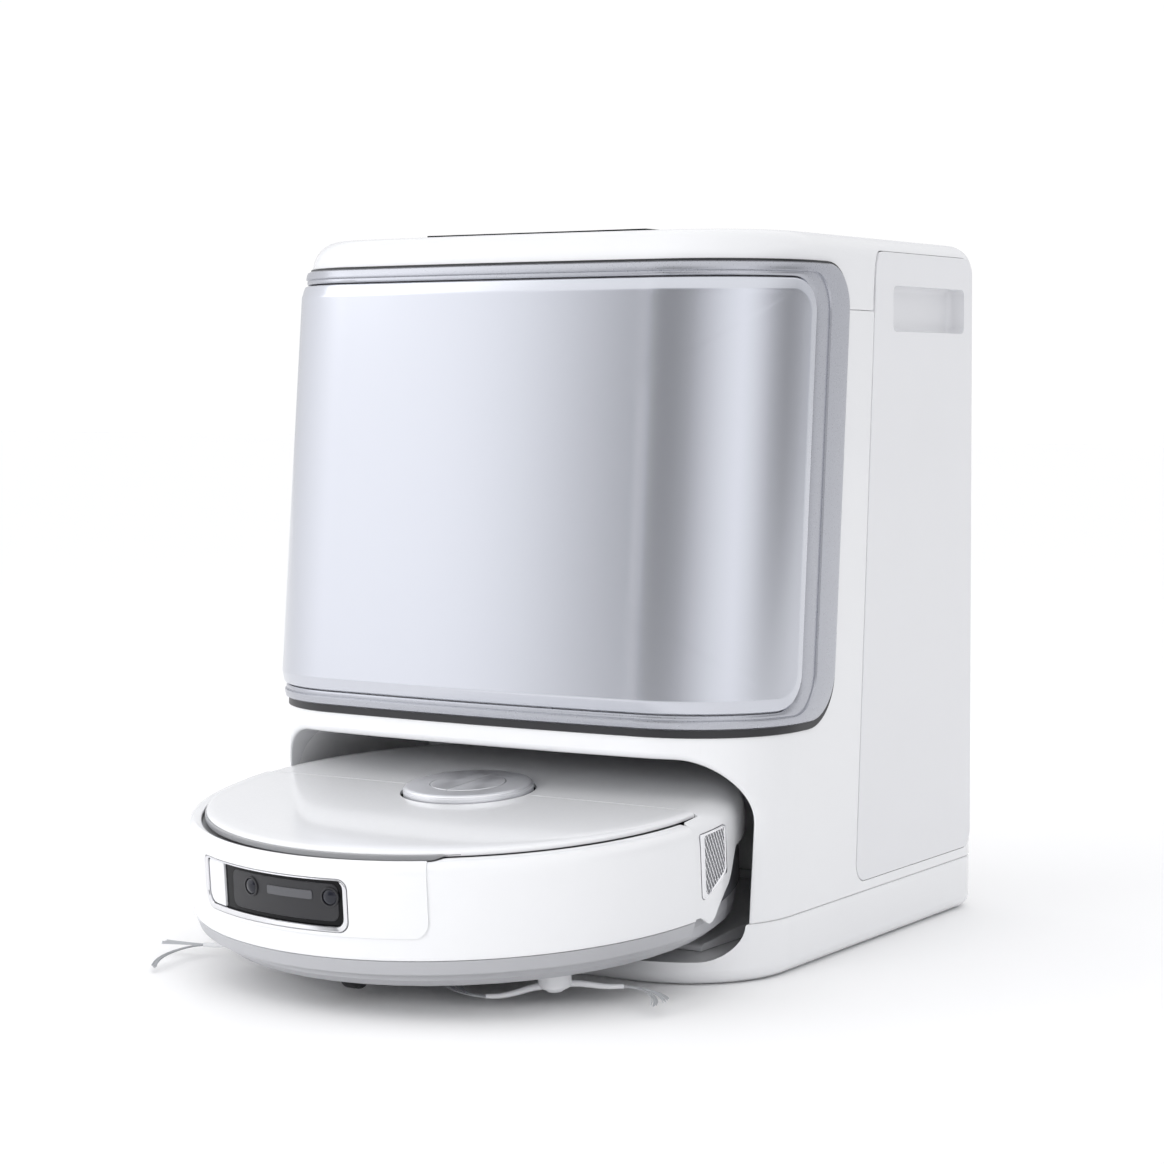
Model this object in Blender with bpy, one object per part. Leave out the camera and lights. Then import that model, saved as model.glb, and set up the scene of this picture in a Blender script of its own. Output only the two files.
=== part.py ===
"""Robot vacuum docked in its self-washing base station, in metres, +Z up.

The origin is on the floor under the station's centre line. The station's front, and the robot's,
face -Y. The robot stands half way into the station's bay, nose down, with its drive wheels on the
bay's plate and its mops on the sloping wash tray.
"""
import math

import bmesh
import bpy
from mathutils import Matrix, Vector

# Station outline
HALF_W = 0.190          # half the width at the floor
DRAFT = 0.006           # how much each side leans in, per metre of height
CORNER_R = 0.075        # front corners
REAR_R = 0.028          # rear corners
FRONT_Y = -0.176        # front plane beside the corners, at the base seam
LEAN = 0.088            # how far the front leans back, per metre of height
SAG = 0.004             # crown of the front across its width
REAR_Y = 0.185
BASE_TOP = 0.037        # seam between the base tray and the shell
LID_SEAM = 0.413        # seam between the shell and the lid
STATION_H = 0.461
GAP = 0.0003            # clearance between touching pieces
HINGE_Y, HINGE_Z = REAR_Y - 0.0028, LID_SEAM

# Bay that the robot drives into
BAY_HALF_W = 0.1790
BAY_TOP = 0.1375
BAY_REAR = 0.030
FLOOR_T = 0.0152        # thickness of the base plate under the robot

# Door on the front
DOOR_LOW, DOOR_HIGH = 0.166, 0.431
FRAME_LOW, FRAME_HIGH = 0.156, 0.441
DOOR_REACH = -0.006     # how far the door wraps back past each front corner's bend
FRAME_REACH = 0.042

# Robot, drawn level and then seated in the bay
ROBOT_Y = -0.170        # its centre
TILT = 0.075            # how far it is turned nose down, in radians
FOOT_Z = 0.0075         # height of its wheels' lowest point as drawn
BODY_RISE = 0.003       # how far its body stands up on the suspension
BUMPER_R = 0.177
SHELL_R = 0.1735
LID_R = 0.1642
CHASSIS_Z = 0.018
SKIRT_Z = 0.028
BUMPER_Z = 0.0375
TURRET_TOP = 0.1045
TURRET_R = 0.0412
SEAM_Y = ROBOT_Y + 0.001    # straight seam between the robot's front lid and its rear shell
WHEEL_R, WHEEL_W, WHEEL_X = 0.034, 0.022, 0.117
WHEEL_Z = FOOT_Z + WHEEL_R
PIVOT_Y, PIVOT_Z = ROBOT_Y - 0.040, WHEEL_Z + 0.006    # suspension pivots
CASTER_Y = ROBOT_Y - 0.128
CASTER_R, CASTER_TRAIL = 0.0095, 0.0020
BRUSH_X, BRUSH_Y, BRUSH_REACH = 0.112, ROBOT_Y - 0.080, 0.072
ROLLER_Y, ROLLER_Z, ROLLER_R = ROBOT_Y - 0.050, 0.0268, 0.0178
MOP_X, MOP_Y, MOP_R = 0.062, ROBOT_Y + 0.078, 0.056
MOP_Z = 0.0112


# Scene and materials

def start():
    for thing in list(bpy.data.objects):
        bpy.data.objects.remove(thing, do_unlink=True)
    groups = []
    for name in ("robot_vacuum", "cutters"):
        group = bpy.data.collections.new(name)
        bpy.context.scene.collection.children.link(group)
        groups.append(group)
    return groups


PARTS, CUTTERS = start()

COLOURS = {
    "white": ((0.86, 0.86, 0.87), 0.28, 0.0),
    "soft_white": ((0.74, 0.74, 0.76), 0.45, 0.0),
    "silver": ((0.55, 0.56, 0.61), 0.30, 0.9),
    "chrome": ((0.80, 0.80, 0.82), 0.12, 1.0),
    "grey": ((0.42, 0.43, 0.45), 0.50, 0.0),
    "dark": ((0.06, 0.06, 0.07), 0.45, 0.0),
    "black_glass": ((0.01, 0.01, 0.012), 0.06, 0.0),
    "rubber": ((0.03, 0.03, 0.03), 0.80, 0.0),
    "tank": ((0.50, 0.56, 0.62), 0.20, 0.0),
    "dirty": ((0.18, 0.19, 0.21), 0.25, 0.0),
    "fabric": ((0.60, 0.61, 0.60), 0.95, 0.0),
    "metal": ((0.62, 0.58, 0.45), 0.30, 1.0),
    "battery": ((0.10, 0.13, 0.30), 0.50, 0.0),
}


def finish(name, mesh, kind, group=None):
    """Make an object of a mesh, with a material of its own."""
    piece = bpy.data.objects.new(name, mesh)
    (group or PARTS).objects.link(piece)
    if group is CUTTERS:
        piece.hide_render = True
        piece.display_type = 'WIRE'
        return piece
    colour, rough, metal = COLOURS[kind]
    material = bpy.data.materials.new(name)
    material.use_nodes = True
    shader = material.node_tree.nodes["Principled BSDF"]
    shader.inputs["Base Color"].default_value = (*colour, 1.0)
    shader.inputs["Roughness"].default_value = rough
    shader.inputs["Metallic"].default_value = metal
    material.diffuse_color = (*colour, 1.0)
    mesh.materials.append(material)
    mesh.shade_smooth()
    mesh.set_sharp_from_angle(angle=math.radians(35))
    return piece


def to_mesh(name, bm):
    bmesh.ops.recalc_face_normals(bm, faces=bm.faces)
    mesh = bpy.data.meshes.new(name)
    bm.to_mesh(mesh)
    bm.free()
    return mesh


# Shapes

def box(name, low, high, kind=None, group=None, round_edges=0.0):
    """A box between two corners, with optional rounded edges."""
    low, high = Vector(low), Vector(high)
    bm = bmesh.new()
    bmesh.ops.create_cube(bm, size=1.0)
    bmesh.ops.scale(bm, vec=high - low, verts=bm.verts)
    if round_edges:
        bmesh.ops.bevel(bm, geom=bm.edges[:], offset=round_edges, segments=2, profile=0.5,
                        affect='EDGES')
    bmesh.ops.translate(bm, vec=(low + high) / 2, verts=bm.verts)
    return finish(name, to_mesh(name, bm), kind, group)


def cylinder(name, radius, centre, length, kind=None, group=None, axis='Z', sides=24, top=None):
    """A round bar, or a cone with another radius at its far end, centred on a point."""
    bm = bmesh.new()
    bmesh.ops.create_cone(bm, cap_ends=True, segments=sides, radius1=radius,
                          radius2=radius if top is None else top, depth=length)
    turns = {'X': Matrix.Rotation(math.pi / 2, 3, 'Y'), 'Y': Matrix.Rotation(-math.pi / 2, 3, 'X')}
    if axis in turns:
        bmesh.ops.rotate(bm, matrix=turns[axis], verts=bm.verts)
    bmesh.ops.translate(bm, vec=centre, verts=bm.verts)
    return finish(name, to_mesh(name, bm), kind, group)


def loft(name, rings, kind=None, group=None):
    """A closed solid through rings of points with equal counts, with flat ends."""
    bm = bmesh.new()
    rows = [[bm.verts.new(p) for p in ring] for ring in rings]
    for low, high in zip(rows, rows[1:]):
        for i in range(len(low)):
            j = (i + 1) % len(low)
            bm.faces.new((low[i], low[j], high[j], high[i]))
    bm.faces.new(list(reversed(rows[0])))
    bm.faces.new(rows[-1])
    return finish(name, to_mesh(name, bm), kind, group)


def turned(name, profile, kind=None, group=None, centre=(0.0, 0.0), arc=None, steps=32, axis='Z',
           at=0.0):
    """A profile of (radius, height) turned about an axis, fully or over an arc of degrees."""
    full = arc is None
    first, last = (0.0, 360.0) if full else arc
    count = steps if full else steps + 1
    rings = []
    for k in range(count):
        a = math.radians(first + (last - first) * k / steps)
        ring = []
        for r, h in profile:
            c, s = r * math.cos(a), r * math.sin(a)
            if axis == 'Z':
                ring.append((centre[0] + c, centre[1] + s, h))
            else:
                ring.append((at + h, centre[0] + c, centre[1] + s))
        rings.append(ring)
    bm = bmesh.new()
    rows = [[bm.verts.new(p) for p in ring] for ring in rings]
    pairs = list(zip(rows, rows[1:] + rows[:1])) if full else list(zip(rows, rows[1:]))
    for one, two in pairs:
        for i in range(len(profile)):
            j = (i + 1) % len(profile)
            if profile[i][0] or profile[j][0]:
                bm.faces.new((one[i], one[j], two[j], two[i]))
    if not full:
        bm.faces.new(rows[0])
        bm.faces.new(list(reversed(rows[-1])))
    bmesh.ops.remove_doubles(bm, verts=bm.verts, dist=1e-6)
    return finish(name, to_mesh(name, bm), kind, group)


def boolean(piece, others, operation='DIFFERENCE'):
    for other in others:
        cut = piece.modifiers.new(operation.lower(), 'BOOLEAN')
        cut.operation = operation
        cut.object = other
        cut.solver = 'EXACT'


def arc_points(cx, cy, radius, first, last, steps):
    angles = [math.radians(first + (last - first) * k / steps) for k in range(steps + 1)]
    return [(cx + radius * math.cos(a), cy + radius * math.sin(a)) for a in angles]


def front_line(z):
    """Y of the front plane beside the corners at a height."""
    return FRONT_Y + LEAN * max(0.0, z - BASE_TOP)


def outline(z, inset=0.0, front_steps=6, corner_steps=7):
    """The station's horizontal outline at a height, anticlockwise from the rear left."""
    half = HALF_W - DRAFT * z - inset
    front = front_line(z) + inset
    radius = CORNER_R - inset
    flat = half - radius
    points = arc_points(-flat, front + radius, radius, 180, 270, corner_steps)
    for k in range(1, front_steps):
        x = flat * (2 * k / front_steps - 1)
        points.append((x, front - SAG * (1 - (x / flat) ** 2)))
    points += arc_points(flat, front + radius, radius, 270, 360, corner_steps)
    rear_r = REAR_R - inset
    rear = REAR_Y - inset
    points += arc_points(half - rear_r, rear - rear_r, rear_r, 0, 90, 4)
    points += arc_points(-half + rear_r, rear - rear_r, rear_r, 90, 180, 4)
    return [(x, y, z) for x, y in points]


def bay_ring(y, grow=0.0, low=-0.01):
    """The robot bay's arched section at a depth."""
    half, top, radius = BAY_HALF_W + grow, BAY_TOP + grow, 0.040
    points = [(-half, low), (half, low)]
    points += arc_points(half - radius, top - radius, radius, 0, 90, 5)
    points += arc_points(-half + radius, top - radius, radius, 90, 180, 5)
    return [(x, y, z) for x, z in points]


def front_point(s, z, out):
    """A point on the station's front, by its run s along the outline from the centre line."""
    half = HALF_W - DRAFT * z
    flat = HALF_W - CORNER_R
    front = front_line(z)
    bend = CORNER_R * math.pi / 2
    run, side = abs(s), math.copysign(1.0, s)
    if run <= flat:
        slope = math.atan(2 * SAG * run / flat ** 2)
        x, y = run * (half - CORNER_R) / flat, front - SAG * (1 - (run / flat) ** 2)
        nx, ny = math.sin(slope), -math.cos(slope)
    elif run <= flat + bend:
        a = (run - flat) / CORNER_R
        nx, ny = math.sin(a), -math.cos(a)
        x, y = half - CORNER_R + CORNER_R * nx, front + CORNER_R + CORNER_R * ny
    else:
        nx, ny = 1.0, 0.0
        x, y = half, front + CORNER_R + run - flat - bend
    return (side * (x + nx * out), y + ny * out, z)


def front_slab(name, reach, low, high, radius, inner, outer, kind=None, group=None, rows=3):
    """A slab that follows the station's front between two offsets, with rounded corners."""
    flat = HALF_W - CORNER_R
    bend = CORNER_R * math.pi / 2
    limit = flat + bend + reach
    ends = [limit - radius * (1 - math.sin(math.pi / 2 * k / 4)) for k in range(5)]
    shared = [flat * k / 3 for k in range(1, 3)] + [flat + bend * k / 7 for k in range(8)]
    plain = [s for s in shared if s < limit - 0.001 and min(abs(s - e) for e in ends) > 0.0004]
    half = sorted(plain + ends)
    runs = [-s for s in reversed(half)] + [0.0] + half
    bm = bmesh.new()

    def sheet(offset):
        grid = []
        for s in runs:
            over = max(0.0, (abs(s) - ends[0]) / radius)
            cut = radius * (1 - math.sqrt(max(0.0, 1 - over * over)))
            heights = [low + cut + (high - low - 2 * cut) * k / rows for k in range(rows + 1)]
            grid.append([bm.verts.new(front_point(s, z, offset)) for z in heights])
        return grid

    near, far = sheet(inner), sheet(outer)
    for grid, flip in ((near, True), (far, False)):
        for one, two in zip(grid, grid[1:]):
            for k in range(rows):
                quad = (one[k], two[k], two[k + 1], one[k + 1])
                bm.faces.new(tuple(reversed(quad)) if flip else quad)
    for i in range(len(runs) - 1):
        bm.faces.new((near[i][0], near[i + 1][0], far[i + 1][0], far[i][0]))
        bm.faces.new((far[i][rows], far[i + 1][rows], near[i + 1][rows], near[i][rows]))
    for k in range(rows):
        bm.faces.new((far[0][k], far[0][k + 1], near[0][k + 1], near[0][k]))
        bm.faces.new((near[-1][k], near[-1][k + 1], far[-1][k + 1], far[-1][k]))
    return finish(name, to_mesh(name, bm), kind, group)


# Station

def base():
    levels = ((0.0, 0.012), (0.004, 0.006), (0.010, 0.0015), (BASE_TOP - GAP, 0.0))
    tray = loft("base_tray", [outline(z, inset) for z, inset in levels], "white")
    cuts = [box("bay_well", (-BAY_HALF_W, -0.30, FLOOR_T), (BAY_HALF_W, BAY_REAR, 0.06),
                group=CUTTERS),
            box("pump_well", (-0.15, BAY_REAR + 0.006, 0.006), (0.15, REAR_Y - 0.012, 0.06),
                group=CUTTERS)]
    for name, x, y in (("front_left", -0.125, -0.10), ("front_right", 0.125, -0.10),
                       ("rear_left", -0.140, 0.135), ("rear_right", 0.140, 0.135)):
        cylinder("foot_" + name, 0.010, (x, y, 0.0015), 0.003, "rubber", sides=16)
        cuts.append(cylinder("pocket_" + name, 0.0104, (x, y, 0.0), 0.0066, group=CUTTERS,
                             sides=16))
    boolean(tray, cuts)
    low, rings = FLOOR_T + GAP, []
    for y in (-0.134, BAY_REAR - 0.002):
        high = low + MOP_Z - FOOT_Z - 0.0005 + (y - ROBOT_Y) * math.tan(TILT)
        rings.append([(-0.145, y, low), (0.145, y, low), (0.145, y, high), (-0.145, y, high)])
    loft("wash_tray", rings, "soft_white")


def panel_front(z):
    """Y of a side panel's front edge at a height."""
    return -0.0145 + 0.066 * z


def panel_ring(x, grow=0.0):
    """A side panel's rounded outline, its front edge leaning with the station's front."""
    low, high, rear, radius = 0.044 - grow, 0.4515 + grow, 0.164 + grow, 0.012
    front_low, front_high = panel_front(low) - grow, panel_front(high) - grow
    points = arc_points(rear - radius, low + radius, radius, 270, 360, 3)
    points += arc_points(rear - radius, high - radius, radius, 0, 90, 3)
    points += arc_points(front_high + radius, high - radius, radius, 90, 180, 3)
    points += arc_points(front_low + radius, low + radius, radius, 180, 270, 3)
    return [(x - math.copysign(DRAFT * z, x), y, z) for y, z in points]


def relief_ring(x):
    """The room a side panel needs in the lid, as the lid swings up around it."""
    low, high, rear, radius = 0.400, 0.4395, 0.165, 0.0125
    points = [(rear, low), (rear, high)]
    points += arc_points(rear - radius, high, radius, 30, 90, 2)
    middle = panel_front(high) + 0.012
    points += arc_points(middle, high, radius, 90, 180, 3)
    reach = HINGE_Y - (middle - radius)
    swing = math.hypot(reach, high - HINGE_Z)
    for k in range(1, 5):
        z = high + (low - high) * k / 4
        points.append((HINGE_Y - math.sqrt(swing ** 2 - (z - HINGE_Z) ** 2), z))
    return [(x, y, z) for y, z in points]


def side_panels(body, lid):
    """Thin panels let into the sides, each with a grip pocket near the top."""
    for side, name in ((-1, "left"), (1, "right")):
        def across(low, high, y0, z0, y1, z1):
            ends = sorted((side * low, side * high))
            return (ends[0], y0, z0), (ends[1], y1, z1)
        outer = HALF_W + 0.0006
        panel = loft("side_panel_" + name,
                     [panel_ring(side * x) for x in (outer - 0.0036, outer)], "soft_white")
        pocket = box("grip_box_" + name, *across(0.1735, 0.1865, 0.034, 0.393, 0.156, 0.436),
                     group=CUTTERS)
        hollow = box("grip_hollow_" + name, *across(0.1755, 0.20, 0.040, 0.400, 0.150, 0.430),
                     group=CUTTERS, round_edges=0.003)
        boolean(panel, [pocket], 'UNION')
        boolean(panel, [hollow])
        slot = loft("panel_slot_" + name,
                    [panel_ring(side * x, GAP) for x in (outer - 0.0039, outer + 0.01)],
                    group=CUTTERS)
        seat = box("grip_seat_" + name, *across(0.1732, 0.20, 0.0337, 0.3927, 0.1563, 0.50),
                   group=CUTTERS)
        boolean(body, [slot, seat])
        relief = loft("lid_side_" + name, [relief_ring(side * x) for x in (0.1729, 0.21)],
                      group=CUTTERS)
        boolean(lid, [relief])


def shell():
    low, high = BASE_TOP, LID_SEAM - GAP
    heights = [low + (high - low) * k / 3 for k in range(4)]
    body = loft("main_shell", [outline(z) for z in heights], "white")
    bay = loft("bay_cut", [bay_ring(-0.30, 0.0024), bay_ring(BAY_REAR + 0.0024, 0.0024)],
               group=CUTTERS)
    tanks = box("tank_cut", (-0.166, -0.070, 0.190), (0.166, 0.166, 0.50), group=CUTTERS)
    front = box("front_cut", (-0.135, -0.30, 0.176), (0.135, -0.078, 0.403), group=CUTTERS)
    rear = box("rear_cut", (-0.150, BAY_REAR + 0.006, 0.03), (0.150, 0.30, 0.180),
               group=CUTTERS)
    groove = cylinder("hinge_groove", 0.0026, (0, HINGE_Y, HINGE_Z), 0.2408, group=CUTTERS,
                      axis='X', sides=12)
    boolean(body, [bay, tanks, front, rear, groove])
    front = front_line(0.08) + 0.050
    liner = loft("bay_liner", [bay_ring(y, 0.0021, BASE_TOP + GAP)
                               for y in (front, BAY_REAR + 0.0021)], "grey")
    hollow = loft("liner_cut", [bay_ring(-0.40), bay_ring(BAY_REAR)], group=CUTTERS)
    boolean(liner, [hollow])
    back = box("rear_cover", (-0.1497, REAR_Y - 0.0065, BASE_TOP + 0.001),
               (0.1497, REAR_Y - 0.0005, 0.1797), "soft_white")
    inlet = box("inlet_cut", (0.094, 0.10, 0.052), (0.126, 0.30, 0.076), group=CUTTERS)
    boolean(back, [inlet])
    socket = box("power_inlet", (0.0943, REAR_Y - 0.030, 0.0523),
                 (0.1257, REAR_Y - 0.001, 0.0757), "dark")
    mouth = box("inlet_mouth", (0.098, REAR_Y - 0.020, 0.056), (0.122, 0.30, 0.072),
                group=CUTTERS)
    boolean(socket, [mouth])
    return body


def top_lid():
    levels = ((LID_SEAM, 0.0), (0.447, 0.0004), (0.4545, 0.003), (0.4590, 0.007),
              (STATION_H, 0.014))
    lid = loft("top_lid", [outline(z, inset) for z, inset in levels], "white")
    cuts = [box("lid_over_tanks", (-0.166, -0.080, 0.40), (0.166, 0.170, 0.4525), group=CUTTERS),
            box("lid_over_front", (-0.120, -0.132, 0.40), (0.120, -0.086, 0.4525),
                group=CUTTERS),
            box("lid_heel", (-0.30, HINGE_Y - 0.0005, 0.40), (0.30, 0.30, HINGE_Z + 0.0034),
                group=CUTTERS),
            cylinder("lid_groove", 0.0026, (0, HINGE_Y, HINGE_Z), 0.2408, group=CUTTERS,
                     axis='X', sides=12),
            front_slab("lid_front_relief", FRAME_REACH - 0.004, 0.380, FRAME_HIGH - 0.0006, 0.029,
                       -0.0060, 0.02, group=CUTTERS)]
    boolean(lid, cuts)
    cylinder("lid_hinge_rod", 0.0022, (0, HINGE_Y, HINGE_Z), 0.240, "metal", axis='X', sides=12)
    box("lid_display", (-0.072, -0.1185, STATION_H + GAP), (0.095, -0.066, STATION_H + 0.0013),
        "black_glass", round_edges=0.0003)
    return lid


def door():
    frame = front_slab("door_frame", FRAME_REACH, FRAME_LOW, FRAME_HIGH, 0.030, 0.0004, 0.0034,
                       "silver", rows=4)
    inside = front_slab("frame_cut", DOOR_REACH + 0.0006, DOOR_LOW - 0.0006, DOOR_HIGH + 0.0006,
                        0.0226, -0.004, 0.010, group=CUTTERS, rows=4)
    boolean(frame, [inside])
    front_slab("front_door", DOOR_REACH, DOOR_LOW, DOOR_HIGH, 0.022, 0.0006, 0.0054, "silver",
               rows=4)


def station_contents():
    """Water tanks under the lid, bag and bottle behind the door, and the works at the rear."""
    for side, name, kind in ((-1, "clean", "tank"), (1, "dirty", "dirty")):
        near, far = sorted((side * 0.004, side * 0.162))
        tank = box(name + "_tank", (near, -0.068, 0.1905), (far, 0.158, 0.424), kind,
                   round_edges=0.008)
        inside = box(name + "_space", (near + 0.003, -0.065, 0.1935), (far - 0.003, 0.155, 0.420),
                     group=CUTTERS, round_edges=0.006)
        middle = side * 0.083
        neck = cylinder(name + "_neck", 0.0283, (middle, 0.080, 0.420), 0.03, group=CUTTERS)
        boolean(tank, [inside, neck])
        cylinder(name + "_tank_cap", 0.0280, (middle, 0.080, 0.4260), 0.010, "grey", top=0.026)
    box("dust_bag", (-0.120, -0.140, 0.1765), (-0.020, -0.0785, 0.330), "fabric",
        round_edges=0.012)
    bottle = box("detergent_bottle", (0.020, -0.138, 0.1765), (0.110, -0.0785, 0.340),
                 "soft_white", round_edges=0.008)
    neck = cylinder("bottle_neck", 0.014, (0.065, -0.108, 0.345), 0.03, group=CUTTERS, sides=16)
    boolean(bottle, [neck], 'UNION')
    cylinder("suction_motor", 0.046, (-0.080, 0.105, 0.108), 0.110, "dark", top=0.040)
    box("water_pump", (0.0, 0.075, 0.0500), (0.060, 0.135, 0.105), "grey", round_edges=0.004)
    for side, name in ((-1, "left"), (1, "right")):
        x = side * 0.028
        box("contact_" + name, (x - 0.006, SHELL_R + ROBOT_Y - 0.0047, 0.072),
            (x + 0.006, BAY_REAR - 0.0035, 0.088), "metal", round_edges=0.0015)


# Robot

def sector(name, r0, r1, z0, z1, first, last, kind=None, group=None, steps=12, slant=0.0):
    """A curved block of the robot's side; its lower edge may rise from the first angle on."""
    rings = []
    for k in range(steps + 1):
        a = math.radians(first + (last - first) * k / steps)
        low = z0 + slant * k / steps
        rings.append([(r * math.cos(a), ROBOT_Y + r * math.sin(a), z)
                      for r, z in ((r0, low), (r1, low), (r1, z1), (r0, z1))])
    return loft(name, rings, kind, group)


def robot_body():
    centre = (0.0, ROBOT_Y)
    chassis = turned("chassis", [(0.0, CHASSIS_Z), (0.158, CHASSIS_Z), (0.1645, 0.023),
                                 (0.1662, 0.030), (0.1662, 0.0368), (0.1637, 0.0368),
                                 (0.1637, 0.030), (0.1575, 0.021), (0.0, 0.021)],
                     "grey", centre=centre, steps=50)
    cuts = [box("roller_bay", (-0.087, ROLLER_Y - 0.0215, 0.0), (0.087, ROLLER_Y + 0.0215, 0.03),
                group=CUTTERS),
            cylinder("caster_bay", 0.0172, (0, CASTER_Y, 0.02), 0.02, group=CUTTERS, sides=20)]
    for side, name in ((-1, "left"), (1, "right")):
        x = side * WHEEL_X
        cuts.append(box("wheel_bay_" + name, (x - 0.0135, ROBOT_Y - 0.040, 0.0),
                        (x + 0.0135, ROBOT_Y + 0.040, 0.03), group=CUTTERS))
        cuts.append(cylinder("mop_bay_" + name, MOP_R + 0.002, (side * MOP_X, MOP_Y, 0.02), 0.02,
                             group=CUTTERS, sides=32))
    boolean(chassis, cuts)
    cover = box("brush_cover", (-0.095, ROLLER_Y - 0.027, 0.0155),
                (0.095, ROLLER_Y + 0.027, CHASSIS_Z - GAP), "grey", round_edges=0.0006)
    opening = box("brush_opening", (-0.086, ROLLER_Y - 0.0195, 0.0),
                  (0.086, ROLLER_Y + 0.0195, 0.03), group=CUTTERS)
    boolean(cover, [opening])

    rear = turned("rear_shell", [(0.0430, 0.1000), (0.150, 0.0998), (0.1610, 0.0988),
                                 (0.1680, 0.0960), (0.1718, 0.0910), (0.1732, 0.0850),
                                 (SHELL_R, 0.060), (SHELL_R, BUMPER_Z), (0.1710, BUMPER_Z),
                                 (0.1710, 0.060), (0.1705, 0.0835), (0.1692, 0.0895),
                                 (0.1662, 0.0935), (0.1600, 0.0962), (0.150, 0.0970),
                                 (0.0430, 0.0973)],
                  "white", centre=centre, arc=(-5.5, 185.5), steps=36)
    front = box("seam_cut", (-0.1665, -0.60, 0.05), (0.1665, SEAM_Y, 0.20), group=CUTTERS)
    cuts = [front]
    for name, first, turn in (("left", 183.2, -1.0), ("right", -3.2, 1.0)):
        low, high, rise = 0.0465, 0.0880, 0.0110
        cuts.append(sector("grille_cut_" + name, 0.10, 0.20, low, high, first,
                           first + 11.0 * turn, group=CUTTERS, steps=4, slant=rise))
        grille = sector("side_grille_" + name, 0.1690, 0.1742, low + 0.0004, high - GAP,
                        first + 0.15 * turn, first + 10.85 * turn, "chrome", steps=4, slant=rise)
        face = sector("grille_face_" + name, 0.1730, 0.20, low + 0.0035, high - 0.0025,
                      first + 1.2 * turn, first + 9.8 * turn, group=CUTTERS, steps=4, slant=rise)
        boolean(grille, [face])
    boolean(rear, cuts)

    lid = turned("front_lid", [(0.0430, 0.1000), (0.150, 0.0998), (0.1605, 0.0994),
                               (0.1632, 0.0986), (LID_R, 0.0975), (LID_R, 0.0958),
                               (0.1600, 0.0958), (0.158, 0.0964), (0.150, 0.0970),
                               (0.0430, 0.0973)],
                 "white", centre=centre, arc=(175.0, 365.0), steps=36)
    trim = box("lid_trim", (-0.30, SEAM_Y - 0.0004, 0.05), (0.30, 0.30, 0.20), group=CUTTERS)
    boolean(lid, [trim])


def front_bumper():
    """The sprung bumper, its grey skirt, and the camera window let into it."""
    arc = (186.5, 353.5)
    bumper = turned("bumper", [(0.1672, 0.0938), (0.1686, 0.0955), (0.1720, 0.0948),
                               (0.1757, 0.0912), (BUMPER_R, 0.0875), (0.1768, 0.060),
                               (0.1755, BUMPER_Z), (0.1730, BUMPER_Z), (0.1742, 0.060),
                               (0.1745, 0.0865), (0.1733, 0.0892), (0.1710, 0.0915),
                               (0.1672, 0.0918)],
                    "white", centre=(0.0, ROBOT_Y), arc=arc, steps=36)
    boolean(bumper, [sector("window_cut", 0.15, 0.20, 0.0532, 0.0852, 240.6, 281.2,
                            group=CUTTERS)])
    turned("bumper_skirt", [(0.1750, 0.0372), (0.1720, SKIRT_Z), (0.1695, SKIRT_Z),
                            (0.1722, 0.0372)],
           "grey", centre=(0.0, ROBOT_Y), arc=arc, steps=36)
    bezel = sector("window_bezel", 0.1728, 0.1780, 0.0535, 0.0849, 240.8, 281.0, "chrome")
    boolean(bezel, [sector("bezel_cut", 0.15, 0.20, 0.0560, 0.0826, 242.0, 279.8,
                           group=CUTTERS)])
    sector("camera_window", 0.1735, 0.1752, 0.0563, 0.0823, 242.2, 279.6, "black_glass")
    sector("status_light", 0.1755, 0.1762, 0.0712, 0.0768, 262.0, 273.5, "grey", steps=4)
    for name, angle in (("left", 257.6), ("right", 277.3)):
        a = math.radians(angle)
        lens = cylinder("lens_" + name, 0.0058, (0, 0, 0), 0.0012, "black_glass", sides=16,
                        top=0.0050)
        turn = Matrix.Translation((0.1762 * math.cos(a), ROBOT_Y + 0.1762 * math.sin(a), 0.0737))
        turn = turn @ Matrix.Rotation(a, 4, 'Z') @ Matrix.Rotation(math.pi / 2, 4, 'Y')
        lens.data.transform(turn)


def turret():
    top = TURRET_TOP
    cap = turned("turret_cap", [(0.0, top), (0.0385, top), (0.0405, top - 0.0010),
                                (TURRET_R, top - 0.0030), (TURRET_R, 0.0915), (0.0388, 0.0915),
                                (0.0388, top - 0.0034), (0.0, top - 0.0030)],
                 "silver", centre=(0.0, ROBOT_Y), steps=32)
    well = cylinder("button_well", 0.0243, (0, ROBOT_Y, top), 0.02, group=CUTTERS, sides=32)
    boolean(cap, [well])
    for name, first in (("power_button", 90.0), ("home_button", -90.0)):
        edge = arc_points(math.copysign(0.0003, -first), ROBOT_Y, 0.0238, first, first + 180, 16)
        loft(name, [[(x, y, z) for x, y in edge] for z in (top - 0.0027, top + 0.0004)], "chrome")
    cylinder("lidar", 0.033, (0.0, ROBOT_Y, top - 0.0190), 0.024, "dark")


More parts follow.
